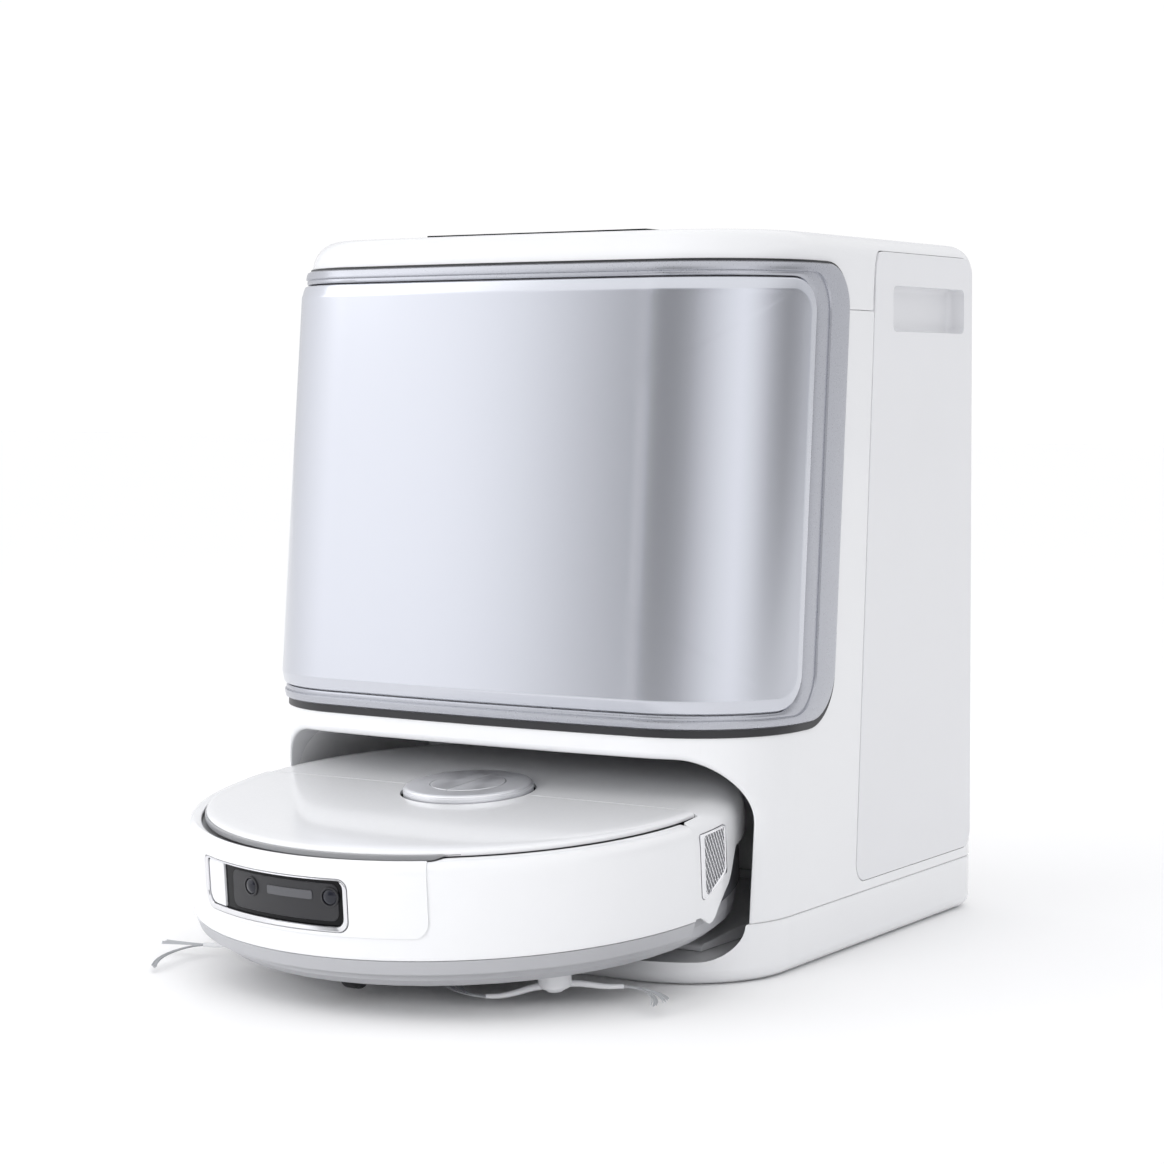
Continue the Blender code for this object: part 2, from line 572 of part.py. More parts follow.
def running_gear():
    for side, name in ((-1, "left"), (1, "right")):
        x = side * WHEEL_X
        half = WHEEL_W / 2
        edge, hub = WHEEL_R - 0.0025, 0.016
        turned("drive_wheel_" + name, [(0.0, -half), (hub, -half), (hub + 0.004, -half),
                                       (edge, -half), (WHEEL_R, -half + 0.003),
                                       (WHEEL_R, half - 0.003), (edge, half), (hub, half),
                                       (0.0, half)],
               "rubber", centre=(ROBOT_Y, WHEEL_Z), axis='X', at=x, steps=32)
        low, high = sorted((side * 0.0910, side * 0.1030))
        arm = box("suspension_arm_" + name, (low, PIVOT_Y - 0.008, WHEEL_Z - 0.008),
                  (high, ROBOT_Y + 0.008, PIVOT_Z + 0.006), "dark", round_edges=0.002)
        middle = side * 0.1030
        axle = cylinder("axle_" + name, 0.005, (middle, ROBOT_Y, WHEEL_Z), 0.005, group=CUTTERS,
                        axis='X', sides=12)
        pin = cylinder("arm_pin_" + name, 0.004, (middle, PIVOT_Y, PIVOT_Z), 0.008, group=CUTTERS,
                       axis='X', sides=12)
        boolean(arm, [axle, pin], 'UNION')
        side_brush("side_brush_" + name, side * BRUSH_X, 20.0 if side > 0 else 206.0)
        mop = turned("mop_pad_" + name, [(0.0, MOP_Z), (MOP_R - 0.003, MOP_Z),
                                         (MOP_R, MOP_Z + 0.003), (MOP_R - 0.002, MOP_Z + 0.0068),
                                         (0.0, MOP_Z + 0.0068)],
                     "fabric", centre=(side * MOP_X, MOP_Y))
        cylinder("mop_plate_" + name, 0.049, (side * MOP_X, MOP_Y, MOP_Z + 0.0091), 0.004, "dark",
                 sides=32)
    cylinder("main_brush", ROLLER_R, (0, ROLLER_Y, ROLLER_Z), 0.168, "rubber", axis='X')
    fork = cylinder("caster_fork", 0.0168, (0, CASTER_Y, 0.0235), 0.014, "dark")
    slot = box("fork_slot", (-0.0068, CASTER_Y - 0.0090, 0.0), (0.0068, CASTER_Y + 0.0130, 0.0275),
               group=CUTTERS)
    boolean(fork, [slot])
    cylinder("caster_wheel", CASTER_R, (0, CASTER_Y + CASTER_TRAIL, FOOT_Z + CASTER_R),
             0.012, "rubber", axis='X', sides=20)


def side_brush(name, x, heading):
    """Two pairs of tapered bristle arms around a hub."""
    points = []
    arms = [heading + 180.0 * k + half for k in range(2) for half in (-15.0, 15.0)]
    for k, arm in enumerate(arms):
        after = arms[(k + 1) % len(arms)] + (360.0 if k == len(arms) - 1 else 0.0)
        valley = (arm + after) / 2
        reach = 0.018 if k % 2 == 0 else 0.011
        for radius, angle in ((BRUSH_REACH, arm - 1.4), (BRUSH_REACH, arm + 1.4), (reach, valley)):
            a = math.radians(angle)
            points.append((x + radius * math.cos(a), BRUSH_Y + radius * math.sin(a)))
    brush = loft(name, [[(px, py, z) for px, py in points] for z in (0.0055, 0.0072)], "fabric")
    hub = cylinder(name + "_hub", 0.0115, (x, BRUSH_Y, 0.0131), 0.0152, group=CUTTERS, sides=20)
    boolean(brush, [hub], 'UNION')


def robot_contents():
    box("dust_bin", (-0.088, -0.302, 0.050), (0.030, -0.218, 0.0910), "tank", round_edges=0.006)
    cylinder("suction_fan", 0.026, (0.063, -0.262, 0.068), 0.040, "dark", top=0.022)
    box("battery", (-0.075, -0.128, 0.0335), (0.075, -0.060, 0.060), "battery",
        round_edges=0.003)


def seated(makers, rise):
    """Make pieces of the robot as drawn, then stand them in the bay, nose down."""
    before = set(bpy.data.objects)
    for make in makers:
        make()
    place = (Matrix.Translation((0.0, ROBOT_Y, FLOOR_T + GAP)) @ Matrix.Rotation(TILT, 4, 'X')
             @ Matrix.Translation((0.0, -ROBOT_Y, rise - FOOT_Z)))
    for piece in set(bpy.data.objects) - before:
        piece.data.transform(place)


def build():
    base()
    body = shell()
    lid = top_lid()
    side_panels(body, lid)
    door()
    station_contents()
    seated((robot_body, front_bumper, turret, robot_contents), BODY_RISE)
    seated((running_gear,), 0.0)


build()
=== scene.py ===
"""The finished look of the robot vacuum and its base station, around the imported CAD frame."""
import math
import random

import bmesh
import bpy
from mathutils import Matrix, Vector


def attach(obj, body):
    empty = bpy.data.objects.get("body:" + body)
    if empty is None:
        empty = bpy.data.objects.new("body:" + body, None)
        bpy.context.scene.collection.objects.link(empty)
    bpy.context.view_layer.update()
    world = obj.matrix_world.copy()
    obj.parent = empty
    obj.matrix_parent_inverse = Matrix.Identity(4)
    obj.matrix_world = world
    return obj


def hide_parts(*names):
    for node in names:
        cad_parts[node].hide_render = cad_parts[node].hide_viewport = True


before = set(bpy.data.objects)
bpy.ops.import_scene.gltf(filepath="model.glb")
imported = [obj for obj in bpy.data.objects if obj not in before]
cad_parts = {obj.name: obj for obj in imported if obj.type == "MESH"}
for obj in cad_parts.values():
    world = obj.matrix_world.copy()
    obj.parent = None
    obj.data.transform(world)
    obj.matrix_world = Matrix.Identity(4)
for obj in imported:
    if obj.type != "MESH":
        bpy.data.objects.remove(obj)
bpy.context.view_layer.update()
RNG = random.Random(4)

# Station sizes, as in the CAD
HALF_W, DRAFT, CORNER_R, REAR_R = 0.190, 0.006, 0.075, 0.028
FRONT_Y, LEAN, SAG, REAR_Y = -0.176, 0.088, 0.004, 0.185
BASE_TOP, LID_SEAM, STATION_H = 0.037, 0.413, 0.461
GAP = 0.0003
HINGE_Y = REAR_Y - 0.0028
FRONT_RUN = HALF_W - CORNER_R + CORNER_R * math.pi / 2      # from the centre line round the bend
BAY_HALF_W, BAY_TOP, BAY_REAR, FLOOR_T = 0.1790, 0.1375, 0.030, 0.0152
DOOR = (-0.006, 0.166, 0.431, 0.022)        # reach past the front's bends, low, high, corner radius
FRAME = (0.042, 0.156, 0.441, 0.030)
PANEL_LOW, PANEL_HIGH, PANEL_REAR, PANEL_R = 0.044, 0.4515, 0.164, 0.012
PANEL_FRONT, PANEL_LEAN = -0.0145, 0.066    # the side panel's front edge at the floor, and its slope
LINER_ROOM, LINER_T = 0.0024, 0.0021        # the bay liner's recess in the shell, and its thickness

# Robot sizes, drawn level
ROBOT_Y, TILT, FOOT_Z, BODY_RISE = -0.170, 0.075, 0.0075, 0.003
BUMPER_R, SHELL_R, LID_R = 0.177, 0.1735, 0.1642
SKIRT_Z, BUMPER_Z = 0.028, 0.0375
TURRET_TOP, TURRET_R = 0.1045, 0.0412
SEAM_Y = ROBOT_Y + 0.001
WHEEL_R, WHEEL_X, WHEEL_Z = 0.034, 0.117, FOOT_Z + 0.034
CASTER_Y, CASTER_R = ROBOT_Y - 0.128, 0.0095
BRUSH_X, BRUSH_Y = 0.112, ROBOT_Y - 0.080
ROLLER_Y, ROLLER_Z, ROLLER_R, ROLLER_HALF = ROBOT_Y - 0.050, 0.0268, 0.0178, 0.084
MOP_X, MOP_Y, MOP_R, MOP_Z = 0.062, ROBOT_Y + 0.078, 0.056, 0.0112
BUMPER_ARC = (186.5, 353.5)                 # degrees, anticlockwise from the robot's right
GRILLE_RISE = 0.011                         # how far the grille's lower edge climbs to the rear
CUTTER_ENDS = (0.15, 0.20)                  # radii that a cut through the robot's side spans
TREADS, FLUTES, STRANDS = 26, 6, 16         # of a tyre, of the main brush, of a brush arm's tip

SIDES = ((-1, "left"), (1, "right"))


def seat(rise):
    """Where the drawn robot stands in the bay: nose down on the plate."""
    return (Matrix.Translation((0.0, ROBOT_Y, FLOOR_T + GAP)) @ Matrix.Rotation(TILT, 4, 'X')
            @ Matrix.Translation((0.0, -ROBOT_Y, rise - FOOT_Z)))


BODY, GEAR = seat(BODY_RISE), seat(0.0)


# Materials

def feed(tree, made, inputs):
    """Sets a node's inputs, or links them to other nodes' sockets."""
    for key, value in inputs.items():
        if isinstance(value, bpy.types.NodeSocket):
            tree.links.new(value, made.inputs[key])
        else:
            made.inputs[key].default_value = value


def node(tree, kind, inputs, **settings):
    made = tree.nodes.new(kind)
    for key, value in settings.items():
        setattr(made, key, value)
    feed(tree, made, inputs)
    return made


def number(tree, operation, *values):
    made = node(tree, "ShaderNodeMath", dict(enumerate(values)), operation=operation)
    return made.outputs[0]


def blend(tree, factor, low, high):
    """A mix of two colours."""
    inputs = {0: factor, 6: low, 7: high}
    return node(tree, "ShaderNodeMix", inputs, data_type='RGBA').outputs[2]


def material(name, colour, rough, metal=0.0, vary=0.03, patch=14.0, grain=900.0, bump=0.02,
             depth=0.0004, stretch=(1.0, 1.0, 1.0), rough_vary=0.05, coat=0.0, sheen=0.0,
             transmission=0.0, specular=0.5, brushed=0.0, pattern=None):
    """A surface with slow colour variation, fine grain in its gloss and its bump."""
    mat = bpy.data.materials.new(name)
    mat.use_nodes = True
    tree = mat.node_tree
    place = node(tree, "ShaderNodeTexCoord", {}).outputs["Object"]
    scaled = node(tree, "ShaderNodeMapping", {"Vector": place, "Scale": stretch}).outputs["Vector"]
    slow = node(tree, "ShaderNodeTexNoise", {"Vector": place, "Scale": patch, "Detail": 3.0})
    fine = node(tree, "ShaderNodeTexNoise", {"Vector": scaled, "Scale": grain, "Detail": 2.0})
    height = fine.outputs["Fac"]
    gloss = node(tree, "ShaderNodeMapRange", {"Value": height, "To Max": rough + rough_vary,
                                              "To Min": max(0.02, rough - rough_vary)})
    if pattern:
        height = pattern(tree, scaled, height)
    raised = node(tree, "ShaderNodeBump", {"Height": height, "Strength": bump, "Distance": depth})
    low = (*[c * (1.0 - vary) for c in colour], 1.0)
    high = (*[min(1.0, c * (1.0 + vary)) for c in colour], 1.0)
    feed(tree, tree.nodes["Principled BSDF"], {
        "Base Color": blend(tree, slow.outputs["Fac"], low, high),
        "Roughness": gloss.outputs["Result"], "Normal": raised.outputs["Normal"],
        "Metallic": metal, "Coat Weight": coat, "Coat Roughness": 0.06, "Sheen Weight": sheen,
        "Transmission Weight": transmission, "Specular IOR Level": specular,
        "Anisotropic": brushed})
    return mat


def woven(scale):
    """Crossed threads, as a height."""
    def make(tree, scaled, fine):
        inputs = {"Vector": scaled, "Scale": scale, "Distortion": 1.5}
        warp, weft = [node(tree, "ShaderNodeTexWave", inputs, bands_direction=way).outputs["Fac"]
                      for way in "XY"]
        return number(tree, 'ADD', number(tree, 'MULTIPLY', warp, weft), fine)
    return make


def knurled(scale):
    """Small cells, as a height."""
    def make(tree, scaled, fine):
        cells = node(tree, "ShaderNodeTexVoronoi", {"Vector": scaled, "Scale": scale})
        return cells.outputs["Distance"]
    return make


WHITE = material("gloss_white", (0.80, 0.805, 0.82), 0.20, vary=0.012, grain=500, bump=0.012,
                 coat=0.35)
SATIN = material("satin_white", (0.77, 0.774, 0.793), 0.42, vary=0.015, grain=2200, bump=0.10,
                 depth=0.0002)
SILVER = material("satin_silver", (0.60, 0.615, 0.665), 0.21, metal=0.92, vary=0.012, patch=5,
                  grain=1600, bump=0.004, depth=0.0001, rough_vary=0.012, coat=0.12)
STEEL = material("dark_silver", (0.46, 0.47, 0.51), 0.28, metal=0.85, vary=0.015, grain=900,
                 bump=0.006, depth=0.0001, rough_vary=0.02)
BRUSHED = material("brushed_metal", (0.84, 0.845, 0.87), 0.36, metal=0.85, vary=0.02, patch=30,
                   grain=900, bump=0.01, brushed=0.55)
CHROME = material("chrome", (0.80, 0.80, 0.82), 0.10, metal=1.0, vary=0.01, grain=600,
                  bump=0.01, rough_vary=0.03)
# The bay liner as a lit and a shaded copy of one material: the walls near white as painted light, the
# ceiling grey as painted shade.
LIT_LINER = material("bay_lit_white", (0.86, 0.862, 0.87), 0.55, vary=0.02, grain=1500, bump=0.12)
SHADED_CEILING = material("bay_shaded_grey", (0.42, 0.423, 0.44), 0.55, vary=0.06, grain=1500, bump=0.12)
GREY = material("mid_grey", (0.40, 0.405, 0.42), 0.45, grain=1800, bump=0.08)
SKIRT = material("skirt_grey", (0.44, 0.444, 0.465), 0.40, vary=0.02, grain=1800, bump=0.06)
# Near-black grey: on the sheet under the rear shell it is painted shade of the cavity there; on the
# light bar it is the bar's own colour.
SHADE_AND_BAR_GREY = material("cavity_shade_and_light_bar_grey", (0.09, 0.091, 0.10), 0.50, vary=0.05, grain=1500, bump=0.10)
RING = material("ring_grey", (0.31, 0.313, 0.325), 0.35, vary=0.02, grain=1500, bump=0.04)
# Near-black plastic of many parts; on the ring round the door frame it is painted shade of the gap.
DARK_AND_GAP_SHADE = material("dark_plastic_and_gap_shade", (0.018, 0.018, 0.021), 0.42, vary=0.08, grain=1600, bump=0.10)
GLASS = material("black_glass", (0.005, 0.005, 0.006), 0.14, vary=0.1, grain=500, bump=0.004,
                 specular=0.16, rough_vary=0.02)
LENS = material("lens_glass", (0.008, 0.009, 0.016), 0.06, vary=0.2, grain=400, bump=0.002,
                specular=0.35, coat=0.25, rough_vary=0.01)
RUBBER = material("rubber", (0.022, 0.022, 0.023), 0.72, vary=0.12, grain=2500, bump=0.35,
                  pattern=knurled(900))
TANK = material("clear_tank", (0.62, 0.70, 0.78), 0.16, grain=300, transmission=0.55)
DIRTY = material("smoked_tank", (0.20, 0.22, 0.25), 0.18, vary=0.05, grain=300,
                 transmission=0.35)
PAPER = material("bag_fleece", (0.62, 0.63, 0.61), 0.95, vary=0.07, patch=40, grain=1200,
                 bump=0.5, depth=0.0006, sheen=0.3, pattern=woven(420))
CLOTH = material("mop_cloth", (0.52, 0.54, 0.57), 0.95, vary=0.10, patch=90, grain=1400,
                 bump=0.9, depth=0.0012, sheen=0.5, pattern=knurled(420))
BRISTLE = material("bristle", (0.44, 0.45, 0.47), 0.60, vary=0.10, grain=1500, bump=0.3,
                   stretch=(1.0, 1.0, 0.2))
BRASS = material("contact_metal", (0.70, 0.62, 0.42), 0.24, metal=1.0, vary=0.05, grain=900,
                 bump=0.05)
BATTERY = material("battery_wrap", (0.03, 0.05, 0.16), 0.45, vary=0.08, grain=700, bump=0.1)
PALE = material("pale_floor", (0.96, 0.96, 0.963), 0.60, vary=0.006, patch=3, grain=300,
                specular=0.25)
NUB = material("foot_rubber", (0.06, 0.06, 0.065), 0.80, vary=0.08, grain=1800, bump=0.3)


# Meshes

def settle(obj, crisp=32.0):
    """Smooth faces, with the edges sharper than an angle kept crisp."""
    obj.data.shade_smooth()
    obj.data.set_sharp_from_angle(angle=math.radians(crisp))
    return obj


def placed(name, data):
    """A new object in the scene."""
    obj = bpy.data.objects.new(name, data)
    bpy.context.scene.collection.objects.link(obj)
    return obj


def from_bmesh(name, bm, mat):
    mesh = bpy.data.meshes.new(name)
    bm.to_mesh(mesh)
    bm.free()
    if mat:
        mesh.materials.append(mat)
    return placed(name, mesh)


def raw(name, bm, mat=None, place=None, crisp=32.0):
    """Cleans a bmesh and makes it an object."""
    bmesh.ops.remove_doubles(bm, verts=bm.verts, dist=1e-6)
    loose = [e for e in bm.edges if not e.link_faces]
    bmesh.ops.delete(bm, geom=loose, context='EDGES')
    bmesh.ops.recalc_face_normals(bm, faces=bm.faces)
    if place:
        bm.transform(place)
    return settle(from_bmesh(name, bm, mat), crisp)


def drop(obj):
    """Removes a piece and its mesh."""
    mesh = obj.data
    bpy.data.objects.remove(obj)
    bpy.data.meshes.remove(mesh)


def mirror(obj):
    """Moves a piece to the other side of the centre line."""
    obj.data.transform(Matrix.Scale(-1.0, 4, (1.0, 0.0, 0.0)))
    obj.data.flip_normals()


def bake(obj, crisp=32.0):
    """Applies an object's modifiers to its mesh."""
    bpy.context.view_layer.update()
    seen = obj.evaluated_get(bpy.context.evaluated_depsgraph_get())
    mesh = bpy.data.meshes.new_from_object(seen)
    obj.modifiers.clear()
    old = obj.data
    obj.data = mesh
    bpy.data.meshes.remove(old)
    return settle(obj, crisp)


def carve(obj, tools, operation='DIFFERENCE', crisp=32.0):
    """Cuts tools out of a piece, joins them to it or keeps what they share; removes them."""
    for tool in tools:
        step = obj.modifiers.new("carve", 'BOOLEAN')
        step.operation, step.object, step.solver = operation, tool, 'EXACT'
    bake(obj, crisp)
    for tool in tools:
        drop(tool)


def soften(obj, width, segments=2, angle=40.0):
    """Rounds a piece's sharp edges."""
    bevel = obj.modifiers.new("soften", 'BEVEL')
    bevel.width, bevel.segments = width, segments
    bevel.limit_method, bevel.angle_limit = 'ANGLE', math.radians(angle)
    return bake(obj, 50.0)


def wear(obj, body, slot, *nodes):
    """Declares what a piece rides on and the CAD nodes that it stands for; its slot is not used."""
    level = obj.modifiers.new("shade", 'WEIGHTED_NORMAL')
    level.keep_sharp = True
    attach(obj, body)
    if nodes:
        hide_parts(*nodes)


def stack(rings, close_ends=True, closed=False):
    """Quads between rings of points with equal counts."""
    bm = bmesh.new()
    rows = [[bm.verts.new(p) for p in ring] for ring in rings]
    pairs = list(zip(rows, rows[1:]))
    if closed:
        pairs.append((rows[-1], rows[0]))
    for low, high in pairs:
        for i in range(len(low)):
            j = (i + 1) % len(low)
            bm.faces.new((low[i], low[j], high[j], high[i]))
    if close_ends and not closed:
        bm.faces.new(list(reversed(rows[0])))
        bm.faces.new(rows[-1])
    return bm


def loft(name, rings, mat=None, place=None, crisp=32.0, closed=False):
    return raw(name, stack(rings, closed=closed), mat, place, crisp)


def block(name, low, high, mat=None, radius=0.0, segments=4):
    """A box with rounded edges."""
    low, high = Vector(low), Vector(high)
    bm = bmesh.new()
    bmesh.ops.create_cube(bm, size=1.0)
    bmesh.ops.scale(bm, vec=high - low, verts=bm.verts)
    if radius:
        bmesh.ops.bevel(bm, geom=bm.edges[:], offset=radius, segments=segments, profile=0.5,
                        affect='EDGES')
    bmesh.ops.translate(bm, vec=(low + high) / 2, verts=bm.verts)
    return raw(name, bm, mat, crisp=50.0 if radius else 32.0)


def fillet(points, radii, steps=4):
    """A closed 2-D profile with its corners rounded."""
    made = []
    count = len(points)
    for i, (point, radius) in enumerate(zip(points, radii)):
        p = Vector(point)
        if not radius:
            made.append(tuple(p))
            continue
        before, after = Vector(points[i - 1]) - p, Vector(points[(i + 1) % count]) - p
        half = before.angle(after) / 2
        reach = min(radius / math.tan(half), before.length * 0.49, after.length * 0.49)
        radius = reach * math.tan(half)
        one, two = p + before.normalized() * reach, p + after.normalized() * reach
        middle = p + (before.normalized() + after.normalized()).normalized() * (
            radius / math.sin(half))
        first, last = one - middle, two - middle
        turn = first.angle_signed(last)
        for k in range(steps + 1):
            a = -turn * k / steps
            made.append((middle.x + first.x * math.cos(a) - first.y * math.sin(a),
                         middle.y + first.x * math.sin(a) + first.y * math.cos(a)))
    return made


def turned(name, profile, mat=None, centre=(0.0, ROBOT_Y), arc=None, steps=128, axis='Z', at=0.0,
           place=None, crisp=32.0):
    """A profile of (radius, height) turned fully or over an arc; it may change with the angle."""
    full = arc is None
    first, last = (0.0, 360.0) if full else arc
    rings = []
    for k in range(steps if full else steps + 1):
        degrees = first + (last - first) * k / steps
        a = math.radians(degrees)
        ring = []
        for r, h in (profile(degrees) if callable(profile) else profile):
            c, s = r * math.cos(a), r * math.sin(a)
            if axis == 'Z':
                ring.append((centre[0] + c, centre[1] + s, h))
            else:
                ring.append((at + h, centre[0] + c, centre[1] + s))
        rings.append(ring)
    bm = stack(rings, close_ends=not full, closed=full)
    bmesh.ops.dissolve_degenerate(bm, edges=bm.edges, dist=1e-7)
    return raw(name, bm, mat, place, crisp)


def disc(name, radius, centre, length, mat=None, axis='Z', edge=0.0006, place=None, steps=64,
         top=None):
    """A round bar with rounded rims."""
    half, far = length / 2, radius if top is None else top
    profile = fillet([(0.0, -half), (radius, -half), (far, half), (0.0, half)],
                     [0.0, edge, edge, 0.0])
    if axis == 'Z':
        return turned(name, [(r, centre[2] + h) for r, h in profile], mat, centre[:2],
                      steps=steps, place=place)
    if axis == 'X':
        return turned(name, profile, mat, centre[1:], steps=steps, axis='X', at=centre[0],
                      place=place)
    obj = turned(name, profile, mat, (0.0, 0.0), steps=steps)
    obj.data.transform(Matrix.Translation(centre) @ Matrix.Rotation(-math.pi / 2, 4, 'X'))
    if place:
        obj.data.transform(place)
    return obj


def arc_points(cx, cy, radius, first, last, steps):
    angles = [math.radians(first + (last - first) * k / steps) for k in range(steps + 1)]
    return [(cx + radius * math.cos(a), cy + radius * math.sin(a)) for a in angles]


def along(one, two, count):
    """Equally spaced points from one towards the other, without the last."""
    return [tuple(p + (q - p) * k / count for p, q in zip(one, two)) for k in range(count)]


def around(count):
    """Equal angles round a full turn."""
    return [2 * math.pi * k / count for k in range(count)]


def tube(name, points, radius, mat, place=None, taper=None, sides=6):
    """A round strand through points, its radius following taper along it."""
    points = [Vector(p) for p in points]
    rings = []
    for i, p in enumerate(points):
        ahead = points[min(i + 1, len(points) - 1)] - points[max(i - 1, 0)]
        across = ahead.cross(Vector((0.0, 0.0, 1.0)))
        if across.length < 1e-9:
            across = ahead.cross(Vector((1.0, 0.0, 0.0)))
        across.normalize()
        up = across.cross(ahead).normalized()
        r = radius * (taper(i / (len(points) - 1)) if taper else 1.0)
        rings.append([p + (across * math.cos(a) + up * math.sin(a)) * r for a in around(sides)])
    return raw(name, stack(rings), mat, place, 60.0)


def merge(name, objs, mat):
    """Joins pieces into one object."""
    bm = bmesh.new()
    for obj in objs:
        bm.from_mesh(obj.data)
        drop(obj)
    return settle(from_bmesh(name, bm, mat))


# The station's form

def front_line(z):
    return FRONT_Y + LEAN * max(0.0, z - BASE_TOP)


def outline(z, inset=0.0, front_steps=40, corner_steps=24, rear_steps=12):
    """The station's horizontal outline at a height, anticlockwise from the rear left."""
    half = HALF_W - DRAFT * z - inset
    front = front_line(z) + inset
    radius = CORNER_R - inset
    flat = half - radius
    points = arc_points(-flat, front + radius, radius, 180, 270, corner_steps)
    for k in range(1, front_steps):
        x = flat * (2 * k / front_steps - 1)
        points.append((x, front - SAG * (1 - (x / flat) ** 2)))
    points += arc_points(flat, front + radius, radius, 270, 360, corner_steps)
    rear_r, rear = REAR_R - inset, REAR_Y - inset
    points += arc_points(half - rear_r, rear - rear_r, rear_r, 0, 90, rear_steps)
    points += arc_points(-half + rear_r, rear - rear_r, rear_r, 90, 180, rear_steps)
    return [(x, y, z) for x, y in points]


def front_depth(x, z):
    """Y of the station's front surface at a point across and up it."""
    half = HALF_W - DRAFT * z
    flat = half - CORNER_R
    front = front_line(z)
    x = abs(x)
    if x <= flat:
        return front - SAG * (1 - (x / flat) ** 2)
    return front + CORNER_R - math.sqrt(max(0.0, CORNER_R ** 2 - (x - flat) ** 2))


def front_point(s, z, out):
    """A point on the station's front, by its run s along the outline from the centre line."""
    half = HALF_W - DRAFT * z
    flat = HALF_W - CORNER_R
    front = front_line(z)
    bend = CORNER_R * math.pi / 2
    run, side = abs(s), math.copysign(1.0, s)
    if run <= flat:
        slope = math.atan(2 * SAG * run / flat ** 2)
        x, y = run * (half - CORNER_R) / flat, front - SAG * (1 - (run / flat) ** 2)
        nx, ny = math.sin(slope), -math.cos(slope)
    elif run <= flat + bend:
        a = (run - flat) / CORNER_R
        nx, ny = math.sin(a), -math.cos(a)
        x, y = half - CORNER_R + CORNER_R * nx, front + CORNER_R + CORNER_R * ny
    else:
        nx, ny = 1.0, 0.0
        x, y = half, front + CORNER_R + run - flat - bend
    return (side * (x + nx * out), y + ny * out, z)


def front_ring(reach, low, high, radius, out, across=72, up=28, corner=12):
    """A rounded rectangle that lies on the station's front, a distance off it."""
    half = FRONT_RUN + reach
    side, foot, head = half - radius, low + radius, high - radius
    points = along((-side, low), (side, low), across)
    points += arc_points(side, foot, radius, 270, 360, corner)[:-1]
    points += along((half, foot), (half, head), up)
    points += arc_points(side, head, radius, 0, 90, corner)[:-1]
    points += along((side, high), (-side, high), across)
    points += arc_points(-side, head, radius, 90, 180, corner)[:-1]
    points += along((-half, head), (-half, foot), up)
    points += arc_points(-side, foot, radius, 180, 270, corner)[:-1]
    return [front_point(s, z, out) for s, z in points]


def front_panel(name, rings, mat, filled=True, steps=44):
    """A panel on the station's front through rings of (reach, low, high, radius, out)."""
    made = [front_ring(*r) for r in rings]
    if not filled:
        return loft(name, made, mat, closed=True)
    for (reach, low, high, radius, out), order in ((rings[-1], 1), (rings[0], -1)):
        limit, half = FRONT_RUN + reach, (high - low) / 2
        extra = [front_ring(reach - limit * t, low + half * t, high - half * t, radius * (1 - t), out)
                 for t in (k / steps for k in range(1, steps))]
        made = made + extra if order > 0 else list(reversed(extra)) + made
    bm = stack(made, close_ends=False)
    bm.verts.ensure_lookup_table()
    size = len(made[0])
    ends = [(bm.verts[:size], rings[0][4]), (bm.verts[-size:], rings[-1][4])]
    for ring, out in ends:
        tip = bm.verts.new(front_point(0.0, (rings[0][1] + rings[0][2]) / 2, out))
        for i in range(size):
            bm.faces.new((ring[i], ring[(i + 1) % size], tip))
    return raw(name, bm, mat, crisp=24.0)


def bay_section(grow=0.0, low=-0.01, corner=0.0, steps=14):
    """The robot bay's arched section as (x, z), with optional rounded lower corners."""
    half, top, radius = BAY_HALF_W + grow, BAY_TOP + grow, 0.040 + grow
    corner = max(corner, 0.0005)
    points = arc_points(-half + corner, low + corner, corner, 180, 270, steps)
    points += arc_points(half - corner, low + corner, corner, 270, 360, steps)
    foot, head = low + corner, top - radius
    points += along((half, foot), (half, head), 8)[1:]
    points += arc_points(half - radius, head, radius, 0, 90, steps)
    points += along((half - radius, top), (radius - half, top), 24)[1:]
    points += arc_points(-half + radius, head, radius, 90, 180, steps)
    points += along((-half, head), (-half, foot), 8)[1:]
    return points


def bay_loft(name, ends, grow=0.0, low=-0.01, corner=0.0, mat=None):
    """A straight run of the bay's section between two depths."""
    section = bay_section(grow, low, corner)
    return loft(name, [[(x, y, z) for x, z in section] for y in ends], mat)


def bay_tool(rear, lip, low):
    """A cutter for the bay, flared where it meets the front so that its edge is rounded."""
    outer, inner = bay_section(lip, low), bay_section(0.0, low)
    rings = [[(x, -0.40, z) for x, z in outer]]
    for k in range(11):
        a = math.pi / 2 * k / 10
        part, back = 1 - math.sin(a), lip * (1 - math.cos(a)) - 0.0001
        ring = []
        for (ox, oz), (ix, iz) in zip(outer, inner):
            x, z = ix + (ox - ix) * part, iz + (oz - iz) * part
            ring.append((x, front_depth(x, max(z, BASE_TOP)) + back, z))
        rings.append(ring)
    rings.append([(x, rear, z) for x, z in inner])
    return loft("bay_tool", rings)


def panel_ring(x, grow=0.0, steps=8):
    """A side panel's rounded outline, its front edge leaning with the station's front."""
    low, high = PANEL_LOW - grow, PANEL_HIGH + grow
    rear, radius = PANEL_REAR + grow, PANEL_R + grow
    front = [PANEL_FRONT - grow + PANEL_LEAN * z for z in (low, high)]
    points = arc_points(rear - radius, low + radius, radius, 270, 360, steps)
    points += arc_points(rear - radius, high - radius, radius, 0, 90, steps)
    points += arc_points(front[1] + radius, high - radius, radius, 90, 180, steps)
    points += arc_points(front[0] + radius, low + radius, radius, 180, 270, steps)
    return [(x - math.copysign(DRAFT * z, x), y, z) for y, z in points]


# Station

